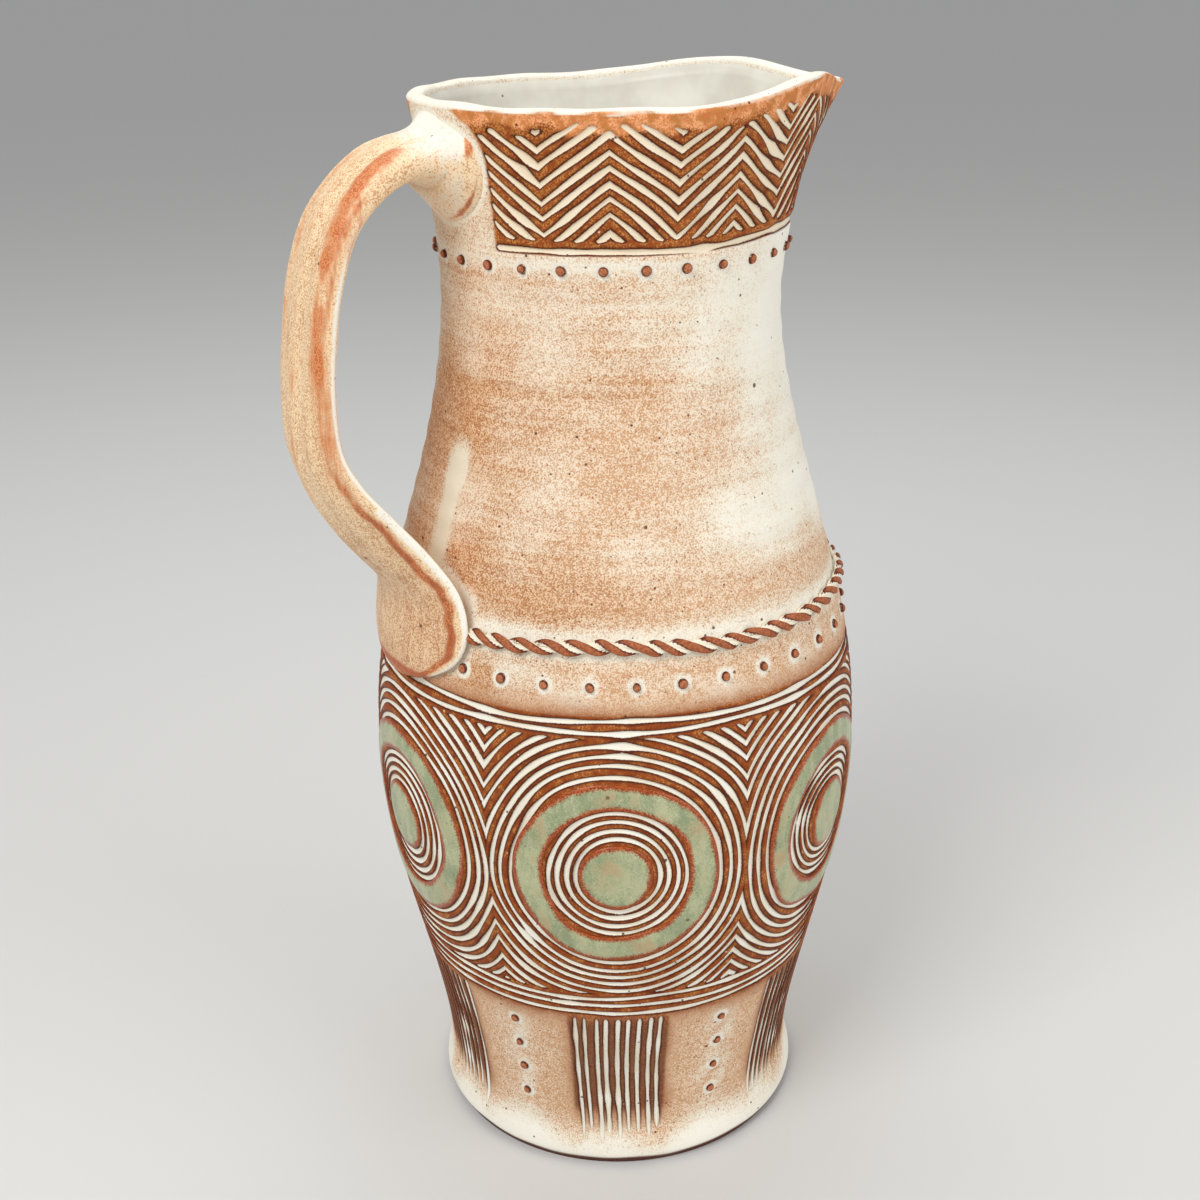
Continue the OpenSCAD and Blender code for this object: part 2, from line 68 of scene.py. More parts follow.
# Spout
SPOUT_OUT = 13.4
SPOUT_TURN = -12.0
THROAT_H = 231.0
SPOUT_SPREAD = 16.0
SHOULDER_RISE = 4.3
SHOULDER_TURN = 32.0
SHOULDER_END_TURN = 84.0
RIM_LEAN = 0.7
RIM_LEAN_TURN = 65.0
TIP_TURN = 3.0
TIP_RISE_SHARE = 0.15
THROAT_WIDENING_SHARE = 0.7
THROAT_POWER = 1.7
LIP_ROUND = 1.7

# Handle
HANDLE_TURN = 180.0
ROOT_H = 269.0
TAIL_H = 145.5
HANDLE_OUT = 38.6
STRAP_W = 26.5
STRAP_T = 7.0
STRAP_POWER = 2.6
ROOT_POWER = 2.1
ROOT_SINK = 2.2
ROOT_SINK_MOST = 3.0
FILLET_REACH = 6.5
FILLET_SIDE = 1.5
FILLET_UP = 2.8
FILLET_DOWN = 0.8
# Stations from root to lower end: shares of the height, the reach, the width, the thickness and the curl
HANDLE_SHARES = np.array([
    [0.993, -0.08, 1.28, 3.55, 0.00],
    [0.997, 0.00, 1.20, 2.62, 0.00],
    [1.005, 0.08, 1.10, 1.86, 0.00],
    [1.006, 0.22, 1.01, 1.44, 0.02],
    [0.992, 0.38, 0.98, 1.30, 0.05],
    [0.953, 0.58, 0.99, 1.18, 0.08],
    [0.896, 0.76, 1.02, 1.08, 0.10],
    [0.818, 0.89, 1.05, 1.02, 0.13],
    [0.732, 0.97, 1.06, 1.00, 0.14],
    [0.615, 1.00, 1.07, 1.00, 0.19],
    [0.495, 0.96, 1.11, 1.00, 0.42],
    [0.405, 0.82, 1.20, 1.00, 0.70],
    [0.322, 0.60, 1.34, 0.97, 0.95],
    [0.258, 0.40, 1.51, 0.90, 1.05],
    [0.210, 0.24, 1.67, 0.82, 1.00],
    [0.178, 0.15, 1.82, 0.76, 0.94],
    [0.142, 0.09, 1.92, 0.70, 0.88],
    [0.104, 0.065, 1.95, 0.66, 0.84],
    [0.062, 0.05, 1.81, 0.60, 0.68],
    [0.029, 0.04, 1.48, 0.52, 0.43],
    [0.000, 0.03, 0.96, 0.42, 0.16],
    [-0.014, 0.02, 0.45, 0.30, 0.04],
])
# Outline of the lower end: shares of the handle's height, and of the strap's half width there
TAIL_HEIGHTS = np.array([-0.03, 0.0, 0.03, 0.08, 0.13, 0.18, 0.24])
TAIL_WIDTHS = np.array([0.1, 0.96, 1.48, 1.88, 1.94, 1.75, 0.7])

# Rope and nibs
ROPE_H = 160.0
ROPE_W = 3.8
ROPE_PROUD = 2.4
ROPE_TWISTS = 26
ROPE_GAP_TURN = 20.0
NIB_R = 1.3
NECK_NIB_H = 246.0
NECK_NIB_COUNT = 28
BELT_NIB_H = 151.0
BELT_NIB_COUNT = 31
BELT_GAP_TURN = 23.0
COLUMN_STEP = 9.0
COLUMN_NIB_COUNT = 4
COLUMN_NIB_H = 20.0

# Glaze fields
ROUNDEL_COUNT = 6
SECTOR = 360.0 / ROUNDEL_COUNT
ROUNDEL_H = 101.0
FIELD_R = 26.4
FIELD_W = 7.4
CENTRE_R = 9.4

# Carving: half width and depth of a comb's groove, how far a hand strays, the distances that stand
# for no groove near, and the lines that are cut
GROOVE_HALF = 0.54
GROOVE_DEPTH = 0.64
RIM_GROOVE_HALF = 0.62
SWAY = 0.30
FAR = 9.0
CUT_MOST = 6.0
TAPER = 3.0
INNER_GROOVE_R = 10.7
INNER_PITCH = 7.0 / 3
INNER_GROOVES = 4
OUTER_GROOVE_R = 27.7
OUTER_PITCH = 2.7
GROUND_LOW = 61.3
GROUND_HIGH = 138.7
BORDER_HEIGHTS = (54.5, 57.2, 59.9, 140.1, 142.8)
REED_TURN = 3.0
REED_COUNT = 9
REED_TOP = 52.6
REED_FOOT = 8.0
CHEVRON_COUNT = 9
CHEVRON_R = 46.0
CHEVRON_RISE = 12.0
CHEVRON_PITCH = 3.8
CHEVRON_LOW = 252.6
CHEVRON_HIGH = 278.9
RIM_BORDER_H = 250.6
RIM_CARVING_H = 246.0
ROOT_GAP_W = 37.0
ROOT_GAP_H = 28.0
ROOT_FAR = 30.0
THROWN_PITCH = 7.3
LINER_PITCH = 9.0

# Painted ground: directions, and pairs of heights between which a colour comes or goes
# Where the neck is whitest: white glaze, with painted light on that side
WHITE_TURN = -34.0
FAR_WHITE_TURN = 80.0
# Where the neck's tan is a little darker: painted shade
SHADED_TAN_TURN = -160.0
WARM_TURN = -168.0
FAR_WARM_TURN = 150.0
SMEAR_TURN = -171.9
SMEAR_LEAN = 0.10
SMEAR_H = 188.0
SMEAR_FROM = (150, 159)
SMEAR_TO = (197, 208)
BARE_TO = (1.9, 2.9)
RUST_FROM = (3, 12)
REED_RUST_FROM = (5, 20)
FOOT_WHITE_TO = (5, 21)
HAZE_FROM = (8, 18)
HAZE_TO = (48, 55)
BELT_FROM = (143, 149)
BELT_TO = (158, 164)
WARM_FROM = (143, 150)
WARM_TO = (214, 240)
NECK_FROM = (164, 186)
NECK_CLOUD_H = 180.0
NECK_TOP_FROM = (200, 232)
NECK_LINE_H = 237.5
BAND_FROM = (275.4, 279.4)
BAND_TO = 281.6
LIP_FROM = (280.4, 281.4)
# Shares where nothing is carved or painted
PLAIN = {"cut": CUT_MOST, "rust": 0.0, "pale": 0.8, "warm": 0.0, "iron": 0.0, "bare": 0.0, "smear": 0.0}

# Mesh steps
COLUMNS = 1152
LINER_COLUMNS = 360
BODY_STRIPS = 3
LIP_TURNS = 13
FINE_STEP = 0.42
SPLIT_LOW = 58.55
SPLIT_MID = 144.6
SPLIT_HIGH = 248.8
FOOT_LEVELS = (0.0, 0.35, 0.8, 1.4, 2.0, 2.5, 2.9, 3.3, 3.9, 4.6)
UNDERSIDE_SHARES = np.array([0.35, 0.7, 0.9, 0.97, 0.995])


def ease(t):
    return (1 - np.cos(np.pi * t)) / 2


def clamp01(t):
    return np.clip(t, 0.0, 1.0)


def part(x, low, high):
    """Share of the way from low to high at which x lies, held from 0 to 1."""
    return clamp01((x - low) / (high - low))


def swell(start, stop, t):
    """Eases from start to stop while t goes from 0 to 1."""
    return start + (stop - start) * ease(t)


def rise(low, high, x):
    """Smooth step from 0 at low to 1 at high."""
    t = part(x, low, high)
    return t * t * (3 - 2 * t)


def window(x, start, full, fade, stop):
    """1 between full and fade, falling to 0 at start and stop."""
    return rise(start, full, x) * (1 - rise(fade, stop, x))


def bell(x, width, middle=0.0):
    """A smooth bump, 1 high at its middle."""
    return np.exp(-((x - middle) / width) ** 2)


def boxy(wave, power):
    """A sine or cosine bent so that the round which it draws is squarer the higher the power."""
    return np.sign(wave) * np.abs(wave) ** (2 / power)


def wrap(x, period=360.0):
    """x less its nearest multiple of the period."""
    return x - period * np.round(x / period)


def arc(theta, centre, r, period=360.0):
    """Distance round a wall of radius r from the centre, or from the nearest of centres a period apart."""
    return np.radians(wrap(theta - centre, period)) * r


def wander(theta, z, seed, size, terms=7):
    """Smooth seeded noise of about unit height, even all round, with features of about size millimetres."""
    random = np.random.default_rng(seed)
    around = 2 * np.pi * 55.0 / size
    total = np.zeros(np.broadcast(theta, z).shape)
    for _ in range(terms):
        turn = random.uniform(0, 2 * np.pi)
        pace = random.uniform(0.5, 1.3)
        waves = round(around * pace * math.cos(turn))
        total += np.sin(np.radians(theta) * waves + 2 * np.pi / size * pace * math.sin(turn) * z
                        + random.uniform(0, 2 * np.pi))
    return total / math.sqrt(terms / 2)


def profile_r(z):
    """Radius of the turned profile."""
    z = np.asarray(z, float)
    foot = FOOT_R - FOOT_BEVEL * (1 - z / FOOT_LIP_H)
    flare = swell(FOOT_R, WAIST_R, part(z, FOOT_LIP_H, WAIST_H))
    flank = swell(WAIST_R, BELLY_R, part(z, WAIST_H, BELLY_H) ** FLANK_POWER)
    shoulder = swell(BELLY_R, NECK_R, part(z, BELLY_H, NECK_H) ** SHOULDER_POWER)
    neck = NECK_R + (RIM_R - NECK_R) * np.maximum((z - NECK_H) / (RIM_H - NECK_H), 0) ** FLARE_POWER
    below = [z < FOOT_LIP_H, z < WAIST_H, z < BELLY_H, z < NECK_H]
    return np.select(below, [foot, flare, flank, shoulder], neck)


def wall_at(z):
    return swell(WALL, LIP_T, part(z, NECK_H, RIM_H))


def from_spout(theta):
    return wrap(theta - SPOUT_TURN)


def pour_out(u, z):
    """How far the wall stands out beyond its profile at u degrees from the spout."""
    t = part(z, THROAT_H, RIM_H)
    spread = SPOUT_SPREAD * (1 + THROAT_WIDENING_SHARE * (1 - t))
    fall = np.sqrt(u * u + TIP_TURN * TIP_TURN) - TIP_TURN
    return SPOUT_OUT * t ** THROAT_POWER * np.exp(-fall / spread)


def rim_z(u):
    """Height of the rim at u degrees from the spout."""
    side = np.abs(u)
    up = swell(TIP_RISE_SHARE, 1, part(side, 0, SHOULDER_TURN))
    down = 1 - ease(part(side, SHOULDER_TURN, SHOULDER_END_TURN))
    hump = np.where(side < SHOULDER_TURN, up, down)
    return RIM_H + RIM_LEAN * np.cos(np.radians(u + SPOUT_TURN - RIM_LEAN_TURN)) + SHOULDER_RISE * hump


def lifted(theta, level):
    """Real height of a level that is numbered as on an even rim, so that levels near the rim follow it."""
    top = rim_z(from_spout(theta)) - LIP_ROUND
    share = (np.maximum(level, NECK_H) - NECK_H) / (RIM_H - LIP_ROUND - NECK_H)
    return np.where(level > NECK_H, NECK_H + share * (top - NECK_H), level)


def skin_r(theta, z):
    return profile_r(z) + pour_out(from_spout(theta), z)


def cavity_r(z):
    up = z - FLOOR_T
    drawn = profile_r(np.maximum(z, WAIST_H)) - wall_at(z)
    round_r = drawn - CORNER_R + np.sqrt(np.maximum(0, up * (2 * CORNER_R - up)))
    return np.where(up < CORNER_R, round_r, drawn)


def polar(r, theta, z):
    r, a, z = np.broadcast_arrays(r, np.radians(theta), z)
    return np.stack([r * np.cos(a), r * np.sin(a), z], axis=-1)


def direction(points):
    return np.degrees(np.arctan2(points[..., 1], points[..., 0]))


def above_wall(points):
    """How far points stand out from the turned wall."""
    return np.hypot(points[..., 0], points[..., 1]) - skin_r(direction(points), points[..., 2])


# Places of the nibs as lists of direction and height
NECK_NIBS = [(360 * (i + 0.5) / NECK_NIB_COUNT, NECK_NIB_H) for i in range(NECK_NIB_COUNT)]
BELT_NIBS = [(-180 + BELT_GAP_TURN + (360 - 2 * BELT_GAP_TURN) * i / (BELT_NIB_COUNT - 1), BELT_NIB_H)
             for i in range(BELT_NIB_COUNT)]
FOOT_NIBS = [(360 * (i + 0.5) / ROUNDEL_COUNT, COLUMN_NIB_H + j * COLUMN_STEP)
             for i in range(ROUNDEL_COUNT) for j in range(COLUMN_NIB_COUNT)]


def nib_distance(theta, z):
    """Distance along the wall to the nearest nib."""
    near = np.full(np.broadcast(theta, z).shape, FAR)
    for a, h in NECK_NIBS + BELT_NIBS + FOOT_NIBS:
        near = np.minimum(near, np.hypot(arc(theta, a, skin_r(a, h)), z - h))
    return near


def beyond(mask, distance):
    """Moves a groove's distance out of its width where the mask falls to nothing, so that its end tapers."""
    return distance + (1 - mask) * TAPER


def nearest_line(x, start, pitch, most, theta, seed, jitter=0.32):
    """Distance from x to the nearest hand-cut line: they lie a pitch apart, give or take the jitter."""
    number = np.clip(np.round((x - start) / pitch), 0, most)
    near = np.full(np.shape(x), FAR)
    for shift in (-1, 0, 1):
        line = np.clip(number + shift, 0, most)
        sway = np.sin(line * 2.4 + seed)
        sway += 0.7 * np.sin(line * 5.3 + seed + np.radians(theta) * (2 + seed % 3))
        near = np.minimum(near, np.abs(x - start - pitch * line - jitter / 1.7 * sway))
    return near


def ground_cut(theta, z):
    """Distance to the rings cut round the roundels, in groove half widths."""
    d = np.hypot(arc(theta, 0, profile_r(z), SECTOR), z - ROUNDEL_H) + SWAY * wander(theta, z, 11, 26)
    inner = nearest_line(d, INNER_GROOVE_R, INNER_PITCH, INNER_GROOVES - 1, theta, 3, 0.16)
    outer = nearest_line(d, OUTER_GROOVE_R, OUTER_PITCH, 30, theta, 5)
    inside = window(z, GROUND_LOW - 0.5, GROUND_LOW + 0.6, GROUND_HIGH - 0.6, GROUND_HIGH + 0.5)
    return beyond(inside, np.minimum(inner, outer) / GROOVE_HALF)


def border_cut(theta, z):
    """Distance to the level lines above and below the roundels, in groove half widths."""
    near = np.full(np.broadcast(theta, z).shape, FAR)
    for k, h in enumerate(BORDER_HEIGHTS):
        near = np.minimum(near, np.abs(z - h - SWAY * wander(theta, h, 21 + k, 50)))
    return near / GROOVE_HALF


def reed_cut(theta, z):
    """Distance to the upright lines below each roundel, in groove half widths."""
    side = wrap(theta, SECTOR)
    half = (REED_COUNT - 1) / 2
    number = np.clip(np.round(side / REED_TURN), -half, half)
    jitter = np.sin(number * 2.7 + np.round(theta / SECTOR) * 4.1)
    lean = SWAY * wander(theta, z, 31, 50) + 0.25 * jitter
    near = np.abs(np.radians(side - REED_TURN * number) * profile_r(z) + lean)
    foot = REED_FOOT + 1.6 * jitter
    ends = window(z, foot - 3.5, foot + 3.5, REED_TOP - 1.2, REED_TOP + 0.4)
    return beyond(ends, near / GROOVE_HALF)


def chevron_cut(theta, level):
    """Distance to the zigzag lines under the rim, in groove half widths."""
    width = 360.0 / CHEVRON_COUNT
    share = np.abs(wrap(theta, width)) / (width / 2)
    height = level + CHEVRON_RISE * share + 0.35 * wander(theta, level, 41, 26)
    slope = CHEVRON_RISE / (np.radians(width / 2) * CHEVRON_R)
    near = nearest_line(height, 0, CHEVRON_PITCH, 90, theta, 7, 0.3) / math.sqrt(1 + slope * slope)
    frayed = CHEVRON_HIGH + 0.7 * wander(theta, 0, 42, 9)
    ends = window(level, CHEVRON_LOW - 0.6, CHEVRON_LOW + 0.6, frayed - 1.6, frayed)
    return beyond(ends * root_clear(theta, level), near / RIM_GROOVE_HALF)


def root_clear(theta, level):
    """0 beside and under the handle's root, where the rim's carving stops, and 1 clear of it."""
    across = arc(theta, HANDLE_TURN, RIM_R) / (ROOT_GAP_W / 2)
    up = np.maximum(level - ROOT_H, 0) / (ROOT_GAP_H / 2)
    return rise(1.0, 1.12, np.hypot(across, up))


@cache
def root_line():
    """The line on which the handle's root meets the wall, as distances round the wall and heights."""
    points = strap_form()[0]
    row = np.argmax(above_wall(points) > 0, axis=0)
    met = points[row, np.arange(points.shape[1])]
    return arc(direction(met), HANDLE_TURN, RIM_R), met[:, 2]


def root_distance(theta, z):
    """Distance along the wall from the line on which the handle's root meets it, up to 30 mm."""
    across, z = np.broadcast_arrays(arc(theta, HANDLE_TURN, RIM_R), z)
    near = np.full(across.shape, ROOT_FAR)
    close = (np.abs(across) < ROOT_GAP_W) & (z > NECK_H)
    if close.any():
        line_across, line_z = root_line()
        near[close] = np.hypot(across[close][:, None] - line_across, z[close][:, None] - line_z).min(axis=1)
    return near


def tail_distance(theta, z):
    """Rough distance from the outline of the handle's lower end."""
    tall = ROOT_H - TAIL_H
    half = STRAP_W / 2 * np.interp(z, TAIL_H + TAIL_HEIGHTS * tall, TAIL_WIDTHS)
    beside = np.maximum(np.abs(arc(theta, HANDLE_TURN, profile_r(z))) - half, 0)
    below = np.maximum(TAIL_H - 3 - z, 0)
    above = np.maximum(z - TAIL_H - 0.22 * tall, 0)
    return np.hypot(beside, below + above)


def groove_distance(theta, level, z):
    """Distance to the nearest groove, in groove half widths."""
    low = np.minimum.reduce([border_cut(theta, z), ground_cut(theta, z), reed_cut(theta, z), FAR + 0 * z])
    line = np.abs(level - RIM_BORDER_H - 0.18 * wander(theta, 0, 43, 60)) / RIM_GROOVE_HALF
    high = np.minimum(beyond(root_clear(theta, level), line), chevron_cut(theta, level))
    cut = np.where(level > RIM_CARVING_H, high, low)
    return np.minimum(cut * (1 - 0.16 * wander(theta, z, 51, 13)), CUT_MOST)


def rust_share(z, to_reeds, rim_zone):
    """Share of rust: all of the carved ground, fading beyond its borders and beside the reeds."""
    off = np.maximum(np.maximum(BORDER_HEIGHTS[0] - 1 - z, z - BORDER_HEIGHTS[-1] - 1), 0)
    reeds = np.exp(-to_reeds / 4.5) * rise(*REED_RUST_FROM, z)
    fading = np.where(z < ROUNDEL_H, np.maximum(np.exp(-off / 9.0), reeds), np.exp(-off / 7.0))
    rust = np.where(off <= 0, 1.0, fading * 0.9)
    return np.maximum(rust, rim_zone) * rise(*RUST_FROM, z)


def smear_share(theta, z):
    """Share of the smear of pale glaze beside the handle."""
    width = 4.2 + rise(172, 200, z) + 2.2 * (1 - rise(158, 172, z)) + 0.5 * wander(0, z, 74, 16)
    off = np.abs(arc(theta, SMEAR_TURN + SMEAR_LEAN * (z - SMEAR_H), profile_r(z)))
    return (1 - rise(0.15, 1.5, off / width)) * window(z, *SMEAR_FROM, *SMEAR_TO)


def pale_share(theta, level, z, to_reeds):
    """Share of white glaze over the ground: on neck and foot, and beside nibs, lines, handle and rope, with
    painted light on one side of the neck and painted shade on another.
    """
    # The neck's sides: whiter one way, white glaze with painted light, and a little darker another way,
    # painted shade
    sides = 0.84 * (bell(wrap(theta - WHITE_TURN), 38) + 0.5 * bell(wrap(theta - FAR_WHITE_TURN), 50))
    sides -= 0.12 * bell(wrap(theta - SHADED_TAN_TURN), 26)
    clouds = 0.08 * wander(theta, z, 65, 60) + 0.06 * wander(theta, z, 66, 24)
    neck = rise(*NECK_FROM, z) * (sides + 0.26 + clouds)
    neck += 0.24 * bell(z, 15, NECK_CLOUD_H) + 0.30 * rise(*NECK_TOP_FROM, z)
    foot_z = z + 5 * np.exp(-to_reeds / 6) - wander(theta, z, 64, 22)
    columns = bell(arc(theta, SECTOR / 2, profile_r(z), SECTOR), 6.0) * window(z, *HAZE_FROM, *HAZE_TO)
    off_rope = np.maximum(np.abs(z - ROPE_H - 0.5) - 2.2, 0)
    return np.maximum.reduce([
        neck,
        0.95 * (1 - rise(NIB_R + 0.5, NIB_R + 1.9, nib_distance(theta, z))),
        1.25 * (1 - rise(*FOOT_WHITE_TO, foot_z)),
        0.85 * np.exp(-np.abs(level - RIM_BORDER_H + 3.5) / 5.0) * (level < RIM_BORDER_H - 0.5),
        (0.50 + 0.15 * wander(theta, z, 75, 10)) * columns,
        0.75 * np.exp(-np.abs(level - NECK_LINE_H) / 2.6),
        0.9 * np.exp(-tail_distance(theta, z) / 2.6),
        0.9 * (1 - rise(0.6, 3.4, root_distance(theta, z))),
        0.6 * (1 - root_clear(theta, level)) * (level > RIM_BORDER_H - 2),
        0.95 * np.exp(-off_rope / 3.2),
        (0.22 + 0.2 * wander(theta, z, 69, 16)) * window(z, *BELT_FROM, *BELT_TO),
    ])


def carved(theta, level, z):
    """Carving and colours of the outside: distance to the nearest groove, and each colour's share."""
    reeds_half = np.radians(REED_TURN * REED_COUNT / 2) * profile_r(z)
    to_reeds = np.maximum(np.abs(arc(theta, 0, profile_r(z), SECTOR)) - reeds_half, 0)
    clear = root_clear(theta, level)
    rim_zone = rise(RIM_BORDER_H - 1.6, RIM_BORDER_H - 0.6, level) * clear
    warm = bell(wrap(theta - WARM_TURN), 30) + 0.8 * bell(wrap(theta - FAR_WARM_TURN), 26)
    warm += 0.25 * wander(theta, z, 67, 50)
    warm *= (1 - 0.6 * rise(*WARM_TO, z)) * rise(*WARM_FROM, z)
    top = BAND_TO + 0.5 * wander(theta, 0, 61, 14) + 5 * np.exp(-np.abs(from_spout(theta)) / 13.0)
    iron = rise(*BAND_FROM, level + wander(theta, level, 62, 14)) * (1 - rise(top - 0.7, top + 0.7, level))
    iron *= clear ** 0.5
    lip = rise(*LIP_FROM, level) * (1 - iron)
    smear = smear_share(theta, z)
    pale = np.maximum.reduce([pale_share(theta, level, z, to_reeds), smear, lip])
    return {
        "cut": groove_distance(theta, level, z),
        "rust": clamp01(rust_share(z, to_reeds, rim_zone) * (1 - lip)),
        "pale": np.clip(pale, 0, 1.25),
        "warm": clamp01(np.maximum(warm, 0.9 * rim_zone)),
        "iron": clamp01(iron),
        "bare": clamp01(1 - rise(*BARE_TO, z + 0.25 * wander(theta, z, 71, 18))),
        "smear": clamp01(smear),
    }


def relief(theta, z, cut):
    """How far the carved wall lies inside the turned one."""
    groove = 0.05 + GROOVE_DEPTH * (1 + 0.15 * wander(theta, z, 52, 20)) * (1 - rise(0.35, 2.4, cut) ** 0.8)
    rings = 0.10 * (1 + np.sin(2 * np.pi * z / THROWN_PITCH + np.radians(theta)))
    hand = 0.12 * (1 + wander(theta, z, 53, 60)) * rise(4, 14, z)
    return groove + rings * window(z, 146, 170, 236, 250) + np.maximum(hand, 0)


def row_lengths(points):
    """Mean distance from each row of points to the next, and from the last to the first."""
    return np.linalg.norm(np.diff(points, axis=0, append=points[:1]), axis=2).mean(1)


def put(items, key, array, kind=np.float32):
    """Writes an array to one property of all the items."""
    items.foreach_set(key, np.asarray(array).astype(kind).ravel())


def grid_mesh(name, points, values, weights=None, strips=1, close_rows=False, caps=False, sharp_rows=(),
              flip=False):
    """A mesh of rows of points, each closed round, with values, a baking map in strips, and flat caps."""
    rows, columns = points.shape[:2]
    mesh = bpy.data.meshes.new(name)
    mesh.vertices.add(rows * columns)
    put(mesh.vertices, "co", points * MM)
    bands = rows if close_rows else rows - 1
    j, i = np.meshgrid(np.arange(bands), np.arange(columns), indexing="ij")
    k, m = (j + 1) % rows, (i + 1) % columns
    order = (j * columns + i, j * columns + m, k * columns + m, k * columns + i)
    if flip:
        order = order[::-1]
    quads = np.stack(order, axis=-1).reshape(-1, 4)
    loops = [quads.ravel()]
    starts = np.arange(len(quads)) * 4
    if caps:
        ring = np.arange(columns)
        low, high = (ring, ring[::-1]) if flip else (ring[::-1], ring)
        loops += [low, (rows - 1) * columns + high]
        starts = np.append(starts, [quads.size, quads.size + columns])
    loops = np.concatenate(loops)
    mesh.loops.add(len(loops))
    put(mesh.loops, "vertex_index", loops, np.int32)
    mesh.polygons.add(len(starts))
    put(mesh.polygons, "loop_start", starts, np.int32)
    mesh.update(calc_edges=True)
    put(mesh.polygons, "use_smooth", np.ones(len(starts)), bool)

    if weights is None:
        weights = row_lengths(points)[:bands]
    room = 0.03 if caps else 0.0
    v = np.concatenate([[0], np.cumsum(weights)])
    v = v / v[-1] * (1 - room)
    wide = columns // strips
    strip, place = i // wide, i % wide
    edge = 0.004
    left, right = edge + place / wide * (1 - 2 * edge), edge + (place + 1) / wide * (1 - 2 * edge)
    low, high = [(strip + edge + v[n] * (1 - 2 * edge)) / strips for n in (j, j + 1)]
    corners = [(left, low), (right, low), (right, high), (left, high)]
    if flip:
        corners = corners[::-1]
    uv = [np.stack([np.stack(c, axis=-1) for c in corners], axis=2).reshape(-1, 2)]
    turn = np.linspace(0, 2 * np.pi, columns, endpoint=False)
    for n in range(2 if caps else 0):
        centre = np.array([0.02 + 0.03 * n, 1 - room / 2 / strips])
        uv.append(centre + room / 2.4 / strips * np.stack([np.cos(turn), np.sin(turn)], axis=-1))
    layer = mesh.uv_layers.new(name="OFBake")
    put(layer.data, "uv", np.concatenate(uv))

    for key, array in values.items():
        store = mesh.attributes.new(key, "FLOAT", "POINT")
        put(store.data, "value", np.broadcast_to(array, (rows, columns)))
    if len(sharp_rows):
        pairs = np.zeros(len(mesh.edges) * 2, np.int32)
        mesh.edges.foreach_get("vertices", pairs)
        row_of = pairs.reshape(-1, 2) // columns
        sharp = (row_of[:, 0] == row_of[:, 1]) & np.isin(row_of[:, 0], np.asarray(sharp_rows) % rows)
        store = mesh.attributes.new("sharp_edge", "BOOLEAN", "EDGE")
        put(store.data, "value", sharp, bool)
    return mesh


def show(name, data):
    """A new object in the scene, with this mesh, lamp or camera."""
    shown = bpy.data.objects.new(name, data)
    bpy.context.scene.collection.objects.link(shown)
    return shown


def join_meshes(name, meshes):
    """One object of several meshes, with their point values and baking maps side by side."""
    side = math.ceil(math.sqrt(len(meshes)))
    for n, mesh in enumerate(meshes):
        layer = mesh.uv_layers["OFBake"]
        uv = np.zeros(len(layer.data) * 2, np.float32)
        layer.data.foreach_get("uv", uv)
        uv = (uv.reshape(-1, 2) * 0.94 + 0.03 + np.array([n % side, n // side])) / side
        put(layer.data, "uv", uv)
    objects = [show(name, mesh) for mesh in meshes]
    with bpy.context.temp_override(active_object=objects[0], selected_editable_objects=objects):
        bpy.ops.object.join()
    return objects[0]


def piece(shown, material, slot, *nodes):
    """Shows an object in place of the CAD nodes, with its mesh named alike."""
    shown.data.name = shown.name
    shown.data.materials.clear()
    shown.data.materials.append(material)
    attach(shown, "root")
    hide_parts(*nodes)


def linear(red, green, blue):
    """A screen colour from 0 to 255 as the linear colour of a shader."""
    def one(c):
        c /= 255
        return c / 12.92 if c <= 0.04045 else ((c + 0.055) / 1.055) ** 2.4
    return one(red), one(green), one(blue), 1.0


SHEEN = 0.36
MATT_SHEEN = 0.14
TAN_LIGHT = linear(236, 210, 182)
TAN_DARK = linear(204, 158, 118)
WARM_LIGHT = linear(226, 186, 146)
WARM_DARK = linear(180, 124, 80)
GRAIN_DARK = linear(152, 92, 58)
GRAIN_LIGHT = linear(246, 234, 212)
PALE = linear(240, 230, 209)
WHITE = linear(246, 242, 229)
CREAM = linear(242, 219, 184)
RUST_LIGHT = linear(186, 126, 82)
RUST = linear(128, 58, 22)
RIDGE_TOP = linear(150, 72, 26)
RIDGE_GOLD = linear(192, 128, 66)
# Dark rust, also used as painted shade along the edges of the ridges
DARK_RUST_AND_SHADE = linear(78, 26, 6)
ORANGE = linear(222, 136, 76)
ORANGE_DEEP = linear(186, 86, 34)
BAND_LIGHT = linear(246, 178, 126)
BAND_DEEP = linear(214, 122, 66)
SPECK = linear(84, 42, 24)
SMEAR = linear(232, 228, 208)
BARE_CLAY = linear(96, 58, 44)
GREEN = linear(182, 184, 144)
GREEN_DEEP = linear(142, 152, 114)
GREEN_BROWN = linear(182, 148, 106)
LINER = linear(226, 223, 210)
LINER_DIM = linear(208, 203, 190)
NIB_TOP = linear(196, 124, 86)
STRAP_LIGHT = linear(246, 218, 178)
STRAP_DARK = linear(210, 160, 112)
ROPE_LIGHT = linear(186, 110, 72)
# Dark rope clay, also painted as shade in the rope's recesses and round the pellets' feet
ROPE_DARK_AND_SHADE = linear(94, 38, 16)
PAPER = linear(214, 213, 210)
SKY = linear(236, 238, 240)


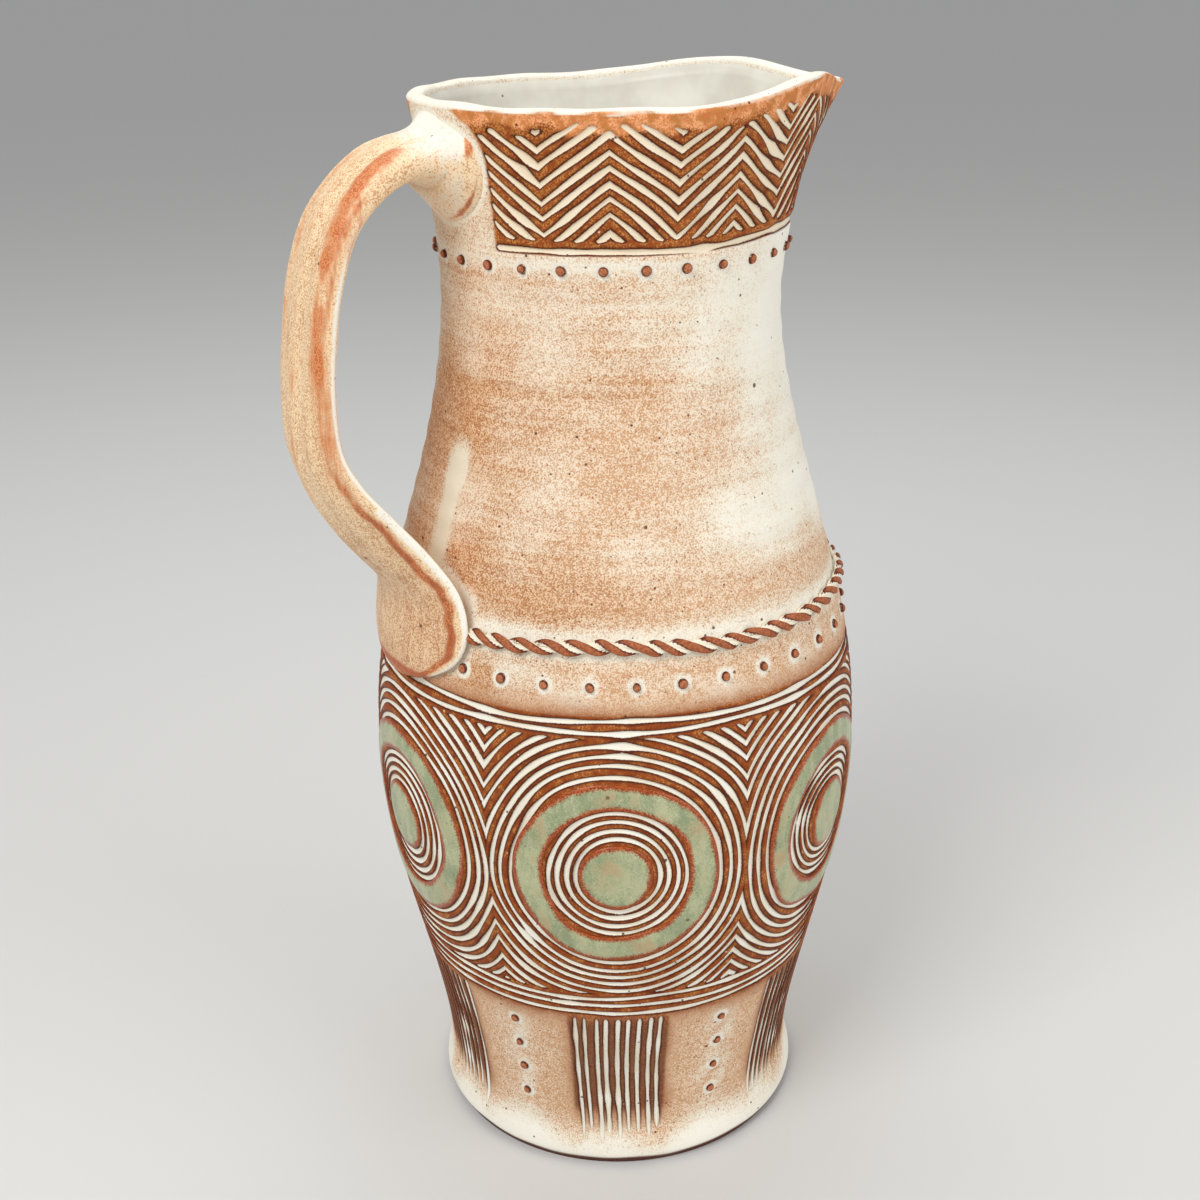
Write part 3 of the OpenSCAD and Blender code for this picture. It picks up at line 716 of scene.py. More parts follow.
class Look:
    """A material's node tree, with short names for the nodes that it is built from."""

    def __init__(self, name, roughness=0.5, sheen=SHEEN):
        self.material = bpy.data.materials.new(name)
        self.material.use_nodes = True
        self.tree = self.material.node_tree
        self.shader = self.tree.nodes["Principled BSDF"].inputs
        self.shader["Roughness"].default_value = roughness
        self.shader["Specular IOR Level"].default_value = sheen
        self.place = self.node("TexCoord").outputs["Object"]

    def node(self, kind):
        return self.tree.nodes.new("ShaderNode" + kind)

    def feed(self, socket, value):
        """Links a socket to another node's output, or sets it to a constant."""
        if isinstance(value, bpy.types.NodeSocket):
            self.tree.links.new(value, socket)
        else:
            socket.default_value = value

    def fill(self, node, inputs):
        """Feeds inputs of a node, each by its name or number, and gives its outputs."""
        for key, value in inputs.items():
            self.feed(node.inputs[key], value)
        return node.outputs

    def maths(self, operation, *values):
        node = self.node("Math")
        node.operation = operation
        return self.fill(node, dict(enumerate(values)))[0]

    def times(self, a, b):
        return self.maths("MULTIPLY", a, b)

    def scaled(self, value, factor, plus):
        return self.maths("MULTIPLY_ADD", value, factor, plus)

    def stirred(self, value, *swings):
        """The value plus each noise's swing about a half, times its strength."""
        for noise, strength in swings:
            value = self.scaled(self.maths("SUBTRACT", noise, 0.5), strength, value)
        return value

    def rise(self, x, low, high, start=0.0, stop=1.0):
        node = self.node("MapRange")
        node.interpolation_type = "SMOOTHSTEP"
        ends = {"From Min": low, "From Max": high, "To Min": start, "To Max": stop}
        return self.fill(node, {"Value": x} | ends)["Result"]

    def blend(self, share, a, b):
        node = self.node("Mix")
        node.data_type = "RGBA"
        return self.fill(node, {0: share, 6: a, 7: b})[2]

    def fade(self, x, low, high, a, b, most=1.0):
        """Colour a where x is at low, with colour b over it, up to the share most, where x is at high."""
        return self.blend(self.rise(x, low, high, 0.0, most), a, b)

    def height(self):
        """Height above the foot in millimetres."""
        return self.maths("DIVIDE", self.fill(self.node("SeparateXYZ"), {0: self.place})[2], MM)

    def value(self, name):
        node = self.node("Attribute")
        node.attribute_name = name
        return node.outputs["Fac"]

    def moved(self, shift, stretch=(1, 1, 1)):
        inputs = {"Vector": self.place, "Location": (shift, shift, shift), "Scale": stretch}
        return self.fill(self.node("Mapping"), inputs)[0]

    def noise(self, size, detail=2.0, rough=0.5, stretch=(1, 1, 1), shift=0.0):
        """Noise from 0 to 1 with features of about size millimetres."""
        inputs = {"Vector": self.moved(shift, stretch), "Scale": 1 / (size * MM), "Detail": detail,
                  "Roughness": rough}
        return self.fill(self.node("TexNoise"), inputs)["Fac"]

    def specks(self, spacing, radius, chance, shift=0.0):
        """1 inside small round specks and 0 elsewhere, with only a share of the cells holding one."""
        inputs = {"Vector": self.moved(shift), "Scale": 1 / (spacing * MM)}
        cell = self.fill(self.node("TexVoronoi"), inputs)
        draws = self.fill(self.node("SeparateColor"), {0: cell["Color"]})
        held = self.maths("LESS_THAN", draws[0], chance)
        reach = self.times(self.scaled(draws[1], 0.75, 0.35), radius / spacing)
        inside = self.rise(self.maths("DIVIDE", cell["Distance"], reach), 1.15, 0.75)
        return self.times(inside, held)

    def finished(self, colour, height, depth):
        """The material in this colour, raised by the height, from 0 to about 1, times the depth in mm."""
        self.feed(self.shader["Base Color"], colour)
        inputs = {"Strength": 1.0, "Distance": depth * MM, "Height": height}
        self.feed(self.shader["Normal"], self.fill(self.node("Bump"), inputs)[0])
        return self.material


def grain_of(look):
    """Fine clay grain from 0 to 1: sub-millimetre dots in soft clumps."""
    fine = look.noise(0.40, 1.0, 0.5)
    clump = look.noise(1.5, 2.0, 0.6, shift=0.3)
    return look.scaled(fine, 0.74, look.times(clump, 0.26))


def speckled(look, grain, bias, dark, light):
    """Glaze that breaks over clay: the bias shifts how much of the grain shows dark."""
    return look.fade(look.scaled(bias, 0.10, grain), 0.43, 0.58, dark, light)


def peppered(look, colour, strength):
    """Brown and pale grains, each smaller than a millimetre, scattered thickly over a colour."""
    brown = look.times(look.specks(1.0, 0.27, 0.42, 0.7), strength)
    colour = look.blend(look.times(brown, 0.74), colour, GRAIN_DARK)
    pale = look.times(look.specks(1.5, 0.30, 0.35, 0.9), strength)
    return look.blend(look.times(pale, 0.6), colour, GRAIN_LIGHT)


def with_specks(look, colour, small, large, strength=0.8):
    """Iron specks over a colour, small and fewer large ones, each given as spacing, radius and chance."""
    dots = look.maths("MAXIMUM", look.specks(*small), look.specks(*large, 0.4))
    return look.blend(look.times(dots, strength), colour, SPECK)


def stoneware_finish():
    """The carved outside: white glaze in the grooves, rust ridges, and speckled tan between."""
    look = Look("carved_stoneware", 0.5, MATT_SHEEN)
    cut, rust, pale, warm, iron, bare, smear = [look.value(name) for name in PLAIN]
    grain = grain_of(look)
    cloud = look.noise(9, 3.0, 0.6, shift=0.7)
    drift = look.noise(34, 3.0, 0.6, stretch=(1, 1, 2.6))
    throwing = look.noise(70, 4.0, 0.75, stretch=(1, 1, 30))
    light = look.stirred(pale, (cloud, 0.3), (throwing, 0.8), (drift, 0.35))
    heat = look.stirred(warm, (throwing, -0.8), (drift, -0.6))
    dark = look.fade(heat, 0.0, 1.0, TAN_DARK, WARM_DARK)
    dark = look.fade(light, 0.2, 1.2, dark, look.blend(0.7, TAN_DARK, PALE))
    bright = look.fade(heat, 0.0, 1.0, TAN_LIGHT, WARM_LIGHT)
    bright = look.fade(light, 0.1, 0.9, bright, PALE)
    colour = speckled(look, grain, look.scaled(light, 1.1, -0.25), dark, bright)
    colour = peppered(look, colour, look.rise(light, 1.5, 0.4, 0.5, 1.0))

    # Rust, white glaze and the smear over the ground; on the neck the white also holds painted light on one
    # side
    share = look.stirred(rust, (cloud, 0.5), (grain, 1.2))
    colour = look.fade(share, 0.35, 1.05, colour, speckled(look, grain, 0.0, RUST, RUST_LIGHT), 0.85)
    milk = look.stirred(pale, (cloud, 0.5), (throwing, 0.5), (grain, 0.8))
    colour = look.fade(milk, 0.55, 1.30, colour, WHITE, 0.94)
    colour = look.fade(look.stirred(smear, (grain, 0.8)), 0.05, 1.1, colour, SMEAR, 0.94)

    # Ridges between the grooves, with dark edges: partly darker iron, partly painted shade where each ridge
    # slopes down into a groove
    ragged = look.stirred(cut, (cloud, 0.25), (look.noise(0.55, 2.0, 0.6, shift=0.9), 0.42))
    mottle = look.noise(3.2, 3.0, 0.6, shift=0.2)
    gold = look.scaled(warm, 0.12, mottle)
    tops = look.fade(grain, 0.44, 0.60, RIDGE_TOP, look.fade(gold, 0.42, 0.62, RUST, RIDGE_GOLD))
    tops = look.fade(look.height(), REED_TOP + 1, REED_TOP - 4, tops, DARK_RUST_AND_SHADE, 0.80)
    tops = look.blend(look.times(look.specks(2.4, 0.26, 0.30, 0.2), 0.75), tops, PALE)
    colour = look.fade(rust, 0.72, 1.0, colour, tops)
    # Painted shade, over darker iron, on the edges of the ridges beside the grooves
    edge = look.times(look.rise(ragged, 2.3, 1.1), look.rise(rust, 0.15, 0.8))
    colour = look.blend(look.times(edge, 0.95), colour, DARK_RUST_AND_SHADE)

    # Orange band under the lip, white glaze in the grooves, and the bare foot
    glow = look.fade(mottle, 0.4, 0.6, RIDGE_GOLD, BAND_LIGHT)
    glow = look.fade(grain, 0.34, 0.60, BAND_DEEP, glow)
    colour = look.fade(look.stirred(iron, (cloud, 0.9), (grain, 0.8)), 0.25, 0.85, colour, glow)
    filled = look.fade(cloud, 0.3, 0.7, PALE, WHITE)
    filled = look.blend(look.times(warm, 0.7), filled, CREAM)
    colour = look.fade(ragged, 1.10, 0.90, colour, filled)
    colour = look.blend(bare, colour, look.fade(grain, 0.4, 0.6, BARE_CLAY, DARK_RUST_AND_SHADE))
    colour = with_specks(look, colour, (3.4, 0.38, 0.6), (9, 0.62, 0.55), 0.88)
    satin = look.rise(ragged, 0.8, 1.4, 0.36, 0.55)
    look.feed(look.shader["Roughness"], look.scaled(smear, -0.2, satin))
    crisp = look.rise(cut, 0.55, 1.35, 0.0, 3.0)
    return look.finished(colour, look.scaled(grain, 1.1, look.scaled(cloud, 0.8, crisp)), 0.1)


def liner_finish():
    """Satin white glaze with fine iron specks."""
    look = Look("white_liner", 0.34)
    cloud = look.noise(16, 3.0, 0.6)
    grain = look.noise(1.1, 3.0, 0.7)
    colour = look.fade(cloud, 0.35, 0.7, LINER_DIM, LINER)
    colour = look.fade(grain, 0.55, 0.70, colour, TAN_LIGHT, 0.3)
    colour = with_specks(look, colour, (4.8, 0.34, 0.55), (11, 0.55, 0.5), 0.75)
    return look.finished(colour, look.scaled(grain, 0.4, cloud), 0.06)


def handle_finish():
    """Speckled tan strap with orange streaks along it, a rust line inside its edge and white beyond that."""
    look = Look("strap_stoneware", 0.46)
    streak, line, pale, low = [look.value(name) for name in ("streak", "line", "pale", "low")]
    grain = grain_of(look)
    cloud = look.noise(11, 3.0, 0.6)
    pulled = look.noise(2.0, 3.0, 0.65, stretch=(1.0, 1.0, 0.06))
    light = look.stirred(pale, (pulled, 1.2), (cloud, 0.9))
    heat = look.stirred(look.scaled(low, 0.62, 0.03), (pulled, -1.2), (cloud, -0.8))
    dark = look.fade(heat, 0.0, 1.0, STRAP_DARK, WARM_DARK)
    bright = look.fade(heat, 0.0, 1.0, STRAP_LIGHT, WARM_LIGHT)
    bright = look.fade(light, 0.3, 0.9, bright, PALE)
    colour = speckled(look, grain, look.scaled(light, 1.3, 0.25), dark, bright)
    colour = peppered(look, colour, look.rise(low, -0.35, 1.0))
    hot = look.stirred(streak, (pulled, 1.5), (grain, 1.3), (cloud, 1.3))
    colour = look.fade(hot, 0.30, 1.0, colour, look.fade(grain, 0.42, 0.58, ORANGE_DEEP, ORANGE), 0.9)
    milk = look.stirred(pale, (cloud, 0.7), (grain, 0.6))
    colour = look.fade(milk, 0.55, 1.05, colour, WHITE, 0.88)
    rim = look.stirred(line, (cloud, 1.1), (pulled, 1.2), (grain, 1.4))
    rusty = look.fade(cloud, 0.4, 0.6, ORANGE_DEEP, ORANGE)
    colour = look.fade(rim, 0.28, 0.85, colour, look.fade(grain, 0.40, 0.60, RIDGE_TOP, rusty), 0.92)
    colour = with_specks(look, colour, (4.0, 0.38, 0.6), (9, 0.6, 0.6))
    return look.finished(colour, look.scaled(grain, 0.8, pulled), 0.1)


def iron_finish(name, light, dark):
    """Bare iron-rich clay, darkened low down by painted shade, with white glaze lying in its hollows."""
    look = Look(name, 0.46, MATT_SHEEN)
    low = look.value("low")
    grain = look.noise(0.5, 3.0, 0.7)
    cloud = look.noise(5, 2.0, 0.5)
    top = look.fade(grain, 0.35, 0.65, look.blend(0.35, dark, light), light)
    # Painted shade: darker where low is high, in the rope's recesses and at the pellets' feet
    colour = look.fade(look.stirred(low, (cloud, 0.6)), 0.05, 0.50, top, dark)
    lie = look.stirred(low, (cloud, 0.5), (grain, 0.6))
    return look.finished(look.fade(lie, 0.60, 0.80, colour, PALE), grain, 0.06)


def green_finish():
    """Satin green glaze that breaks to rust at its edge, with brown clouds and dark specks."""
    look = Look("green_glaze", 0.30)
    edge = look.value("edge")
    cloud = look.noise(12, 3.0, 0.6)
    streak = look.noise(5, 3.0, 0.6, stretch=(1, 1, 0.5), shift=0.5)
    grain = grain_of(look)
    colour = look.fade(look.stirred(streak, (grain, 0.6)), 0.3, 0.7, GREEN_DEEP, GREEN)
    brown = look.stirred(cloud, (streak, 0.6), (grain, 0.5))
    colour = look.fade(brown, 0.54, 0.78, colour, GREEN_BROWN, 0.85)
    colour = look.fade(grain, 0.50, 0.66, colour, PALE, 0.12)
    broken = look.stirred(edge, (streak, 1.6), (grain, 1.8))
    colour = look.fade(broken, 1.7, 0.6, colour, look.fade(grain, 0.4, 0.6, RUST, ORANGE_DEEP))
    colour = with_specks(look, colour, (3.0, 0.30, 0.6), (6.5, 0.5, 0.6), 0.65)
    return look.finished(colour, look.scaled(grain, 0.6, cloud), 0.07)


def levels(start, stop, step):
    return np.linspace(start, stop, max(2, round((stop - start) / step) + 1))


def corner_levels(count):
    """Levels up the rounded corner of the cavity, closest together at the floor."""
    return FLOOR_T + CORNER_R * (1 - np.cos(np.radians(np.linspace(0, 90, count))))


def grid(heights, columns=COLUMNS):
    """Directions all round, and levels, as grids with a row for each level."""
    return np.meshgrid(np.arange(columns) * 360.0 / columns, heights, indexing="xy")


def outside(heights):
    """Rows of points up the carved outside, and their colours."""
    theta, level = grid(heights)
    z = lifted(theta, level)
    values = carved(theta, level, z)
    return polar(skin_r(theta, z) - relief(theta, z, values["cut"]), theta, z), values


def inside(heights):
    """Rows of points down the bare inside of the wall, just behind the liner, and their colours."""
    theta, level = grid(heights[::-1])
    z = lifted(theta, level)
    return polar(cavity_r(z) + pour_out(from_spout(theta), z) + 0.05, theta, z), PLAIN


def over_lip():
    """Rows of points over the rounded lip, and their colours."""
    theta = grid([RIM_H])[0]
    u = from_spout(theta)
    low = rim_z(u) - LIP_ROUND
    turns = np.radians(np.linspace(0, 180, LIP_TURNS)[1:-1])[:, None]
    r = skin_r(theta, low) - LIP_T / 2 * (1 - boxy(np.cos(turns), 2.5))
    z = low + (LIP_ROUND - 0.25 + 0.15 * wander(theta, 0, 81, 30)) * np.sin(turns) ** 0.8
    tip = np.exp(-np.abs(u) / 9.0)
    rusty = clamp01(1.1 * tip + 0.55 + 0.25 * wander(theta, 0, 82, 16)) * root_clear(theta, 275.0)
    rusty = rusty * rise(0.50 - 0.5 * tip, 0.95 - 0.4 * tip, np.cos(turns))
    return polar(r, theta, z), PLAIN | {"pale": 1.0, "iron": rusty}


def stacked(*parts):
    """Blocks of rows, each with its colours, as one block."""
    points = np.concatenate([block for block, _ in parts])
    return points, {key: np.concatenate([np.broadcast_to(colours[key], block.shape[:2])
                                         for block, colours in parts]) for key in PLAIN}


def ring_of_wall(name, low, high, step, inner_step, material, lip=False):
    """A closed ring of the thrown wall between two levels, with its carved outside in steps."""
    outer, inner = outside(levels(low, high, step)), inside(levels(low, high, inner_step))
    edge = len(outer[0]) - 1
    if lip:
        points, values = stacked(outer, over_lip(), inner)
        hidden, sharp = edge + LIP_TURNS, [0, -1]
    else:
        points, values = stacked(outer, inner)
        hidden, sharp = edge, [0, edge, -len(inner[0]), -1]
    steps = row_lengths(points)
    steps[hidden:] *= 0.12
    mesh = grid_mesh(name, points, values, steps, BODY_STRIPS, close_rows=True, sharp_rows=sharp)
    piece(show(name, mesh), material, "stoneware", "body")


def foot_of_wall(name, low_levels, high, inner_step, material):
    """The foot of the wall with its floor, closed by the flat underside and the top of the floor."""
    theta = grid([0.0])[0]
    under = polar(UNDERSIDE_SHARES[:, None] * (FOOT_R - FOOT_BEVEL), theta, 0.0)
    floor = polar(np.array([0.75, 0.4])[:, None] * cavity_r(FLOOR_T), theta, FLOOR_T)
    corner, upper = corner_levels(8), levels(20, high, inner_step)
    inner = inside(np.concatenate([corner, upper[upper > corner[-1] + 1]]))
    outer = outside(np.concatenate([low_levels, levels(53.0, high, FINE_STEP)]))
    clay = PLAIN | {"rust": 0.6, "pale": 0.0, "bare": 1.0}
    points, values = stacked((under, clay), outer, inner, (floor, PLAIN))
    steps = row_lengths(points)[:-1]
    hidden = len(under) + len(outer[0]) - 1
    steps[hidden:] *= 0.1
    steps[:len(under)] *= 0.35
    sharp = [len(under), hidden, hidden + 1]
    mesh = grid_mesh(name, points, values, steps, BODY_STRIPS, caps=True, sharp_rows=sharp)
    piece(show(name, mesh), material, "stoneware", "body")


def make_body(material):
    foot_levels = np.concatenate([FOOT_LEVELS, levels(5.4, 52.6, 0.8)])
    foot_of_wall("body_foot", foot_levels, SPLIT_LOW, 5, material)
    ring_of_wall("body_belly", SPLIT_LOW, SPLIT_MID, FINE_STEP, 6, material)
    ring_of_wall("body_shoulder", SPLIT_MID, SPLIT_HIGH, 1.1, 6, material)
    ring_of_wall("body_rim", SPLIT_HIGH, RIM_H - LIP_ROUND, 0.36, 2.2, material, lip=True)


def make_liner(material):
    """The liner glaze as a thin closed shell that thins out under the lip."""
    corner = corner_levels(14)
    wall = levels(corner[-1] + 2.5, RIM_H - LIP_ROUND - 0.3, 2.5)
    theta, level = grid(np.concatenate([corner, wall]), LINER_COLUMNS)
    z = lifted(theta, level)
    out = cavity_r(z) + pour_out(from_spout(theta), z)
    thin = GLAZE_T * (1 - 0.9 * rise(RIM_H - 14, RIM_H - 3, level))
    rings = 0.12 * np.sin(2 * np.pi * z / LINER_PITCH + np.radians(theta)) * window(z, 20, 40, 255, 275)
    inner = polar(out - thin - np.maximum(rings, 0.05 - thin) * 0.8, theta, np.maximum(z, FLOOR_T + GLAZE_T))
    floor_r = np.array([0.3, 0.65])[:, None] * cavity_r(FLOOR_T)
    floor_top = polar(floor_r, theta[:1], FLOOR_T + GLAZE_T)
    floor_low = polar(floor_r[::-1], theta[:1], FLOOR_T)
    points = np.concatenate([floor_top, inner, polar(out, theta, z)[::-1], floor_low])
    steps = row_lengths(points)[:-1]
    steps[len(inner) + 1:] *= 0.08
    mesh = grid_mesh("liner_coat", points, {}, steps, 2, caps=True, flip=True)
    piece(show("liner_coat", mesh), material, "white_glaze", "liner_glaze")


def through(table, s):
    """The row of a table of stations at the place s, on a smooth curve through its rows."""
    last = len(table) - 1
    i = np.clip(np.floor(s).astype(int), 0, last - 1)
    t = (s - i)[:, None]
    a, b, c, d = [table[np.clip(i + n, 0, last)] for n in (-1, 0, 1, 2)]
    square, cube = 2 * a - 5 * b + 4 * c - d, 3 * b - a - 3 * c + d
    return 0.5 * (2 * b + (c - a) * t + square * t ** 2 + cube * t ** 3)


def strap_mid(s):
    """Distance out from the axis, and height, of the strap's middle at the stations s."""
    q = through(HANDLE_SHARES, s)
    z = TAIL_H + q[:, 0] * (ROOT_H - TAIL_H)
    return np.stack([profile_r(z) + q[:, 1] * HANDLE_OUT, z], axis=-1)


def rooted(points, mid, stations):
    """The strap's points with its root's end bent to the wall's curve and drawn out round it in a fillet."""
    points = points.copy()
    at_root = points[..., 2] > NECK_H
    points[..., 0] += (above_wall(points[0]) + ROOT_SINK) * clamp01(1 - stations)[:, None] ** 2
    points[..., 0] -= np.maximum(-ROOT_SINK_MOST - above_wall(points), 0) * at_root
    away = points - np.stack([-mid[:, 0], 0 * mid[:, 0], mid[:, 1]], axis=-1)[:, None, :]
    away[..., 0] = 0
    away /= np.maximum(np.linalg.norm(away, axis=-1, keepdims=True), 1e-6)
    up, down = np.maximum(away[..., 2], 0), np.maximum(-away[..., 2], 0)
    width = FILLET_SIDE + FILLET_UP * up ** 2 + FILLET_DOWN * down ** 2
    draw = width * clamp01(1 - above_wall(points) / FILLET_REACH) ** 2 * at_root
    points += away * draw[..., None]
    points[..., 2] = np.minimum(points[..., 2], RIM_H - LIP_ROUND - 0.6)
    return points


@cache
def strap_form():
    """Points of the pulled strap from root to lower end, and their shares along, across and off its face."""
    sides = 120
    last = len(HANDLE_SHARES) - 1
    s = np.linspace(0, last, last * 12 + 1)
    q = through(HANDLE_SHARES, s)
    mid = strap_mid(s)
    run = strap_mid(np.minimum(s + 0.2, last)) - strap_mid(np.maximum(s - 0.2, 0))
    run /= np.linalg.norm(run, axis=1)[:, None]
    a = -2 * np.pi * np.arange(sides)[None, :] / sides
    along = (s / last)[:, None]
    power = ROOT_POWER + (STRAP_POWER - ROOT_POWER) * rise(0.04, 0.14, along)
    across, face = boxy(np.cos(a), power), boxy(np.sin(a), power)
    flute = bell(across, 0.16, 0.42 + 0.05 * np.sin(9 * along))
    flute += 0.9 * bell(across, 0.17, -0.34 - 0.05 * np.sin(7 * along))
    dent = 0.75 * flute + 0.10 * np.sin(40 * along + 5 * across)
    dent *= clamp01(face) * window(along, 0.03, 0.12, 0.60, 0.78)
    lift = 0.985 * q[:, 3:4] * STRAP_T / 2 * face - dent - q[:, 4:5] * STRAP_T * across ** 2
    half_w = q[:, 2:3] * STRAP_W / 2 * (1 - 0.006 * (1 + np.sin(23 * along)))
    half_w *= 1 - 0.07 * (1 - rise(0.02, 0.12, along))
    points = np.stack([lift * run[:, 1:2] - mid[:, 0:1], half_w * across, mid[:, 1:2] + lift * run[:, 0:1]],
                      axis=-1)
    return rooted(points, mid, s), along, across, face


def make_handle(material):
    """The pulled strap, with shallow flutes along its back and a soft edge that curls to the wall."""
    points, along, across, face = strap_form()
    low_part = rise(0.48, 0.72, along)
    near = np.abs(across)
    edge_turn = np.degrees(np.arcsin(np.clip(face, -1, 1)))
    # Rust lines inside the edge, round the lower end and on the root's edge
    line_at = 0.89 + 0.018 * np.sin(47 * along) + 0.01 * np.sin(113 * along)
    line = 1.1 * bell(near, 0.055, line_at) * rise(0.40, 0.62, along) * (face > -0.2)
    line += 0.5 * bell(edge_turn, 14, 24) * window(along, 0.15, 0.25, 0.40, 0.62)
    end_line = 1.9 * bell(along, 0.030, 0.962) * (face > -0.2)
    root_edge = 1.05 * bell(along, 0.0034, 0.0205) * bell(edge_turn, 42, -45)
    # Orange streaks along the strap and a patch on the root
    place = -0.70 - 0.14 * rise(0.18, 0.42, along) + 0.025 * np.sin(38 * along)
    streak = 1.35 * bell(across, 0.19, place) * window(along, 0.135, 0.175, 0.34, 0.60)
    streak += 0.6 * bell(across, 0.13, 0.55) * window(along, 0.1, 0.2, 0.36, 0.5)
    streak += 0.45 * bell(across, 0.12, -0.05) * window(along, 0.1, 0.2, 0.46, 0.6)
    streak *= 0.85 + 0.22 * np.sin(29 * along + 0.6) + 0.16 * np.sin(67 * along)
    patch = 1.6 * bell(along, 0.015, 0.040) * bell(edge_turn, 20, 30) * (across < 0)
    # White glaze on the brink, the root and the side that faces the wall
    brink = np.where(along < 0.55, bell(edge_turn, 13, -8), rise(0.95, 0.99, near))
    white = brink * rise(0.2, 0.4, along)
    white += (1 - rise(0.08, 0.24, along)) * (0.24 + 0.71 * rise(-0.5, 0.6, face))
    white = white * (1 - line) + 0.30 * (1 - rise(-0.6, 0.1, face)) * (1 - low_part)
    white *= 1 - 0.85 * clamp01(patch)
    values = {"streak": clamp01((streak + patch) * (face > -0.4)),
              "line": clamp01(line + end_line + root_edge),
              "pale": clamp01(white), "low": low_part * (near < 0.9)}
    mesh = grid_mesh("handle_strap", points, values, strips=2, caps=True)
    piece(show("handle_strap", mesh), material, "handle_clay", "handle")


def make_rope(name, phase, material, node):
    """One strand of the rope, a roll of clay pressed flat, as uneven as if rolled by hand."""
    rings, sides = 26, 14
    start, stop = -180 + ROPE_GAP_TURN, 180 - ROPE_GAP_TURN
    count = ROPE_TWISTS * rings
    k = np.arange(count + 1)[:, None]
    theta = start + (stop - start) * k / count
    uneven = wander(theta, 0, 91 + phase, 7)
    twist = 2 * np.pi * k / rings + math.radians(phase) + 0.16 * wander(theta, 0, 93, 13)
    c = -2 * np.pi * np.arange(sides)[None, :] / sides
    strand_r = ROPE_W / 4 * (1.10 + 0.08 * uneven)
    middle = profile_r(ROPE_H) + ROPE_PROUD / 2 - 0.15
    lean = (profile_r(ROPE_H + ROPE_W) - profile_r(ROPE_H - ROPE_W)) / (2 * ROPE_W)
    up = ROPE_W / 4 * 0.98 * np.cos(twist) + strand_r * np.cos(c)
    out = ROPE_PROUD / ROPE_W * (ROPE_W / 4 * np.sin(twist) + strand_r * np.sin(c))
    drift = 0.35 * wander(theta, 0, 95, 45)
    points = polar(middle + np.minimum(out, ROPE_PROUD / 2 + 0.05) + lean * up, theta, ROPE_H + up + drift)
    depth = (ROPE_PROUD / 2 - out) / ROPE_PROUD
    seam = (1 - np.cos(c - twist)) / 2
    # low rises towards the wall and where the strands meet: painted shade there, and white glaze in the
    # deepest parts
    values = {"low": np.maximum(rise(0.15, 0.9, depth), 0.95 * rise(0.30, 0.74, seam)) + 0.08 * uneven}
    mesh = grid_mesh(name, points, values, strips=4, caps=True)
    piece(show(name, mesh), material, "iron_clay", node)


def nib_mesh(theta, h, seed):
    """A pressed pellet of clay, a little out of round, its edge sunk into the wall."""
    random = np.random.default_rng(seed)
    sides, rows = 20, 8
    rise_turn = np.radians(np.linspace(-8, 84, rows))[:, None]
    c = 2 * np.pi * np.arange(sides)[None, :] / sides
    size = NIB_R * random.uniform(0.86, 1.0)
    squash, spin = random.uniform(0.86, 1.0), random.uniform(0, np.pi)
    tall = NIB_R * random.uniform(0.74, 0.98)
    flat = np.cos(rise_turn) ** 0.85
    x, y = size * flat * np.cos(c), size * squash * flat * np.sin(c)
    across, up = x * math.cos(spin) - y * math.sin(spin), x * math.sin(spin) + y * math.cos(spin)
    out = tall * np.sin(rise_turn) - 0.12
    here = theta + np.degrees(across / skin_r(theta, h))
    points = polar(skin_r(here, h + up) + out, here, h + up)
    # low is highest at the pellet's foot: painted shade there, under its lighter top
    return grid_mesh("nib", points, {"low": 0.6 * (1 - rise(0.15, 0.75, out / tall))}, caps=True)


def make_nibs(name, places, seed, material, node):
    meshes = [nib_mesh(a, h, seed + n) for n, (a, h) in enumerate(places)]
    piece(join_meshes(name, meshes), material, "iron_clay", node)


def field_skin(theta_c, d, c, out):
    """Points at the distances d and clock angles c from a roundel's centre, standing out from the wall."""
    z = ROUNDEL_H + d * np.cos(c)
    r = profile_r(z)
    return polar(r + out, theta_c + np.degrees(d * np.sin(c) / r), z)


def field_mesh(theta_c, from_r, to_r, seed):
    """A patch of glaze with a wandering edge, thickest inside and run out to nothing at its edges."""
    sides, steps = 180, 12
    ring = from_r > 0
    c = -2 * np.pi * np.arange(sides)[None, :] / sides
    turn = np.degrees(c)
    outer_edge = to_r + 0.26 * wander(turn, 0, seed + 1, 50 if ring else 110)
    t = np.linspace(0, 1, steps + 1)[:, None]
    if ring:
        inner_edge = from_r + 0.22 * wander(turn, 0, seed, 60)
        d = inner_edge + (outer_edge - inner_edge) * t
        edge = np.minimum(d - inner_edge, outer_edge - d)
    else:
        d = outer_edge * (0.06 + 0.94 * t)
        edge = outer_edge - d
    top = field_skin(theta_c, d, c, 0.30 * rise(-0.1, 2.4, edge) - 0.06)
    under = field_skin(theta_c, d[::-1], c, -0.5)
    values = {"edge": np.concatenate([edge, edge[::-1]])}
    return grid_mesh("field", np.concatenate([top, under]), values, close_rows=ring, caps=not ring)


def make_fields(name, from_r, to_r, seed, material, node):
    meshes = [field_mesh(SECTOR * n, from_r, to_r, seed + 10 * n) for n in range(ROUNDEL_COUNT)]
    piece(join_meshes(name, meshes), material, "green_glaze", node)


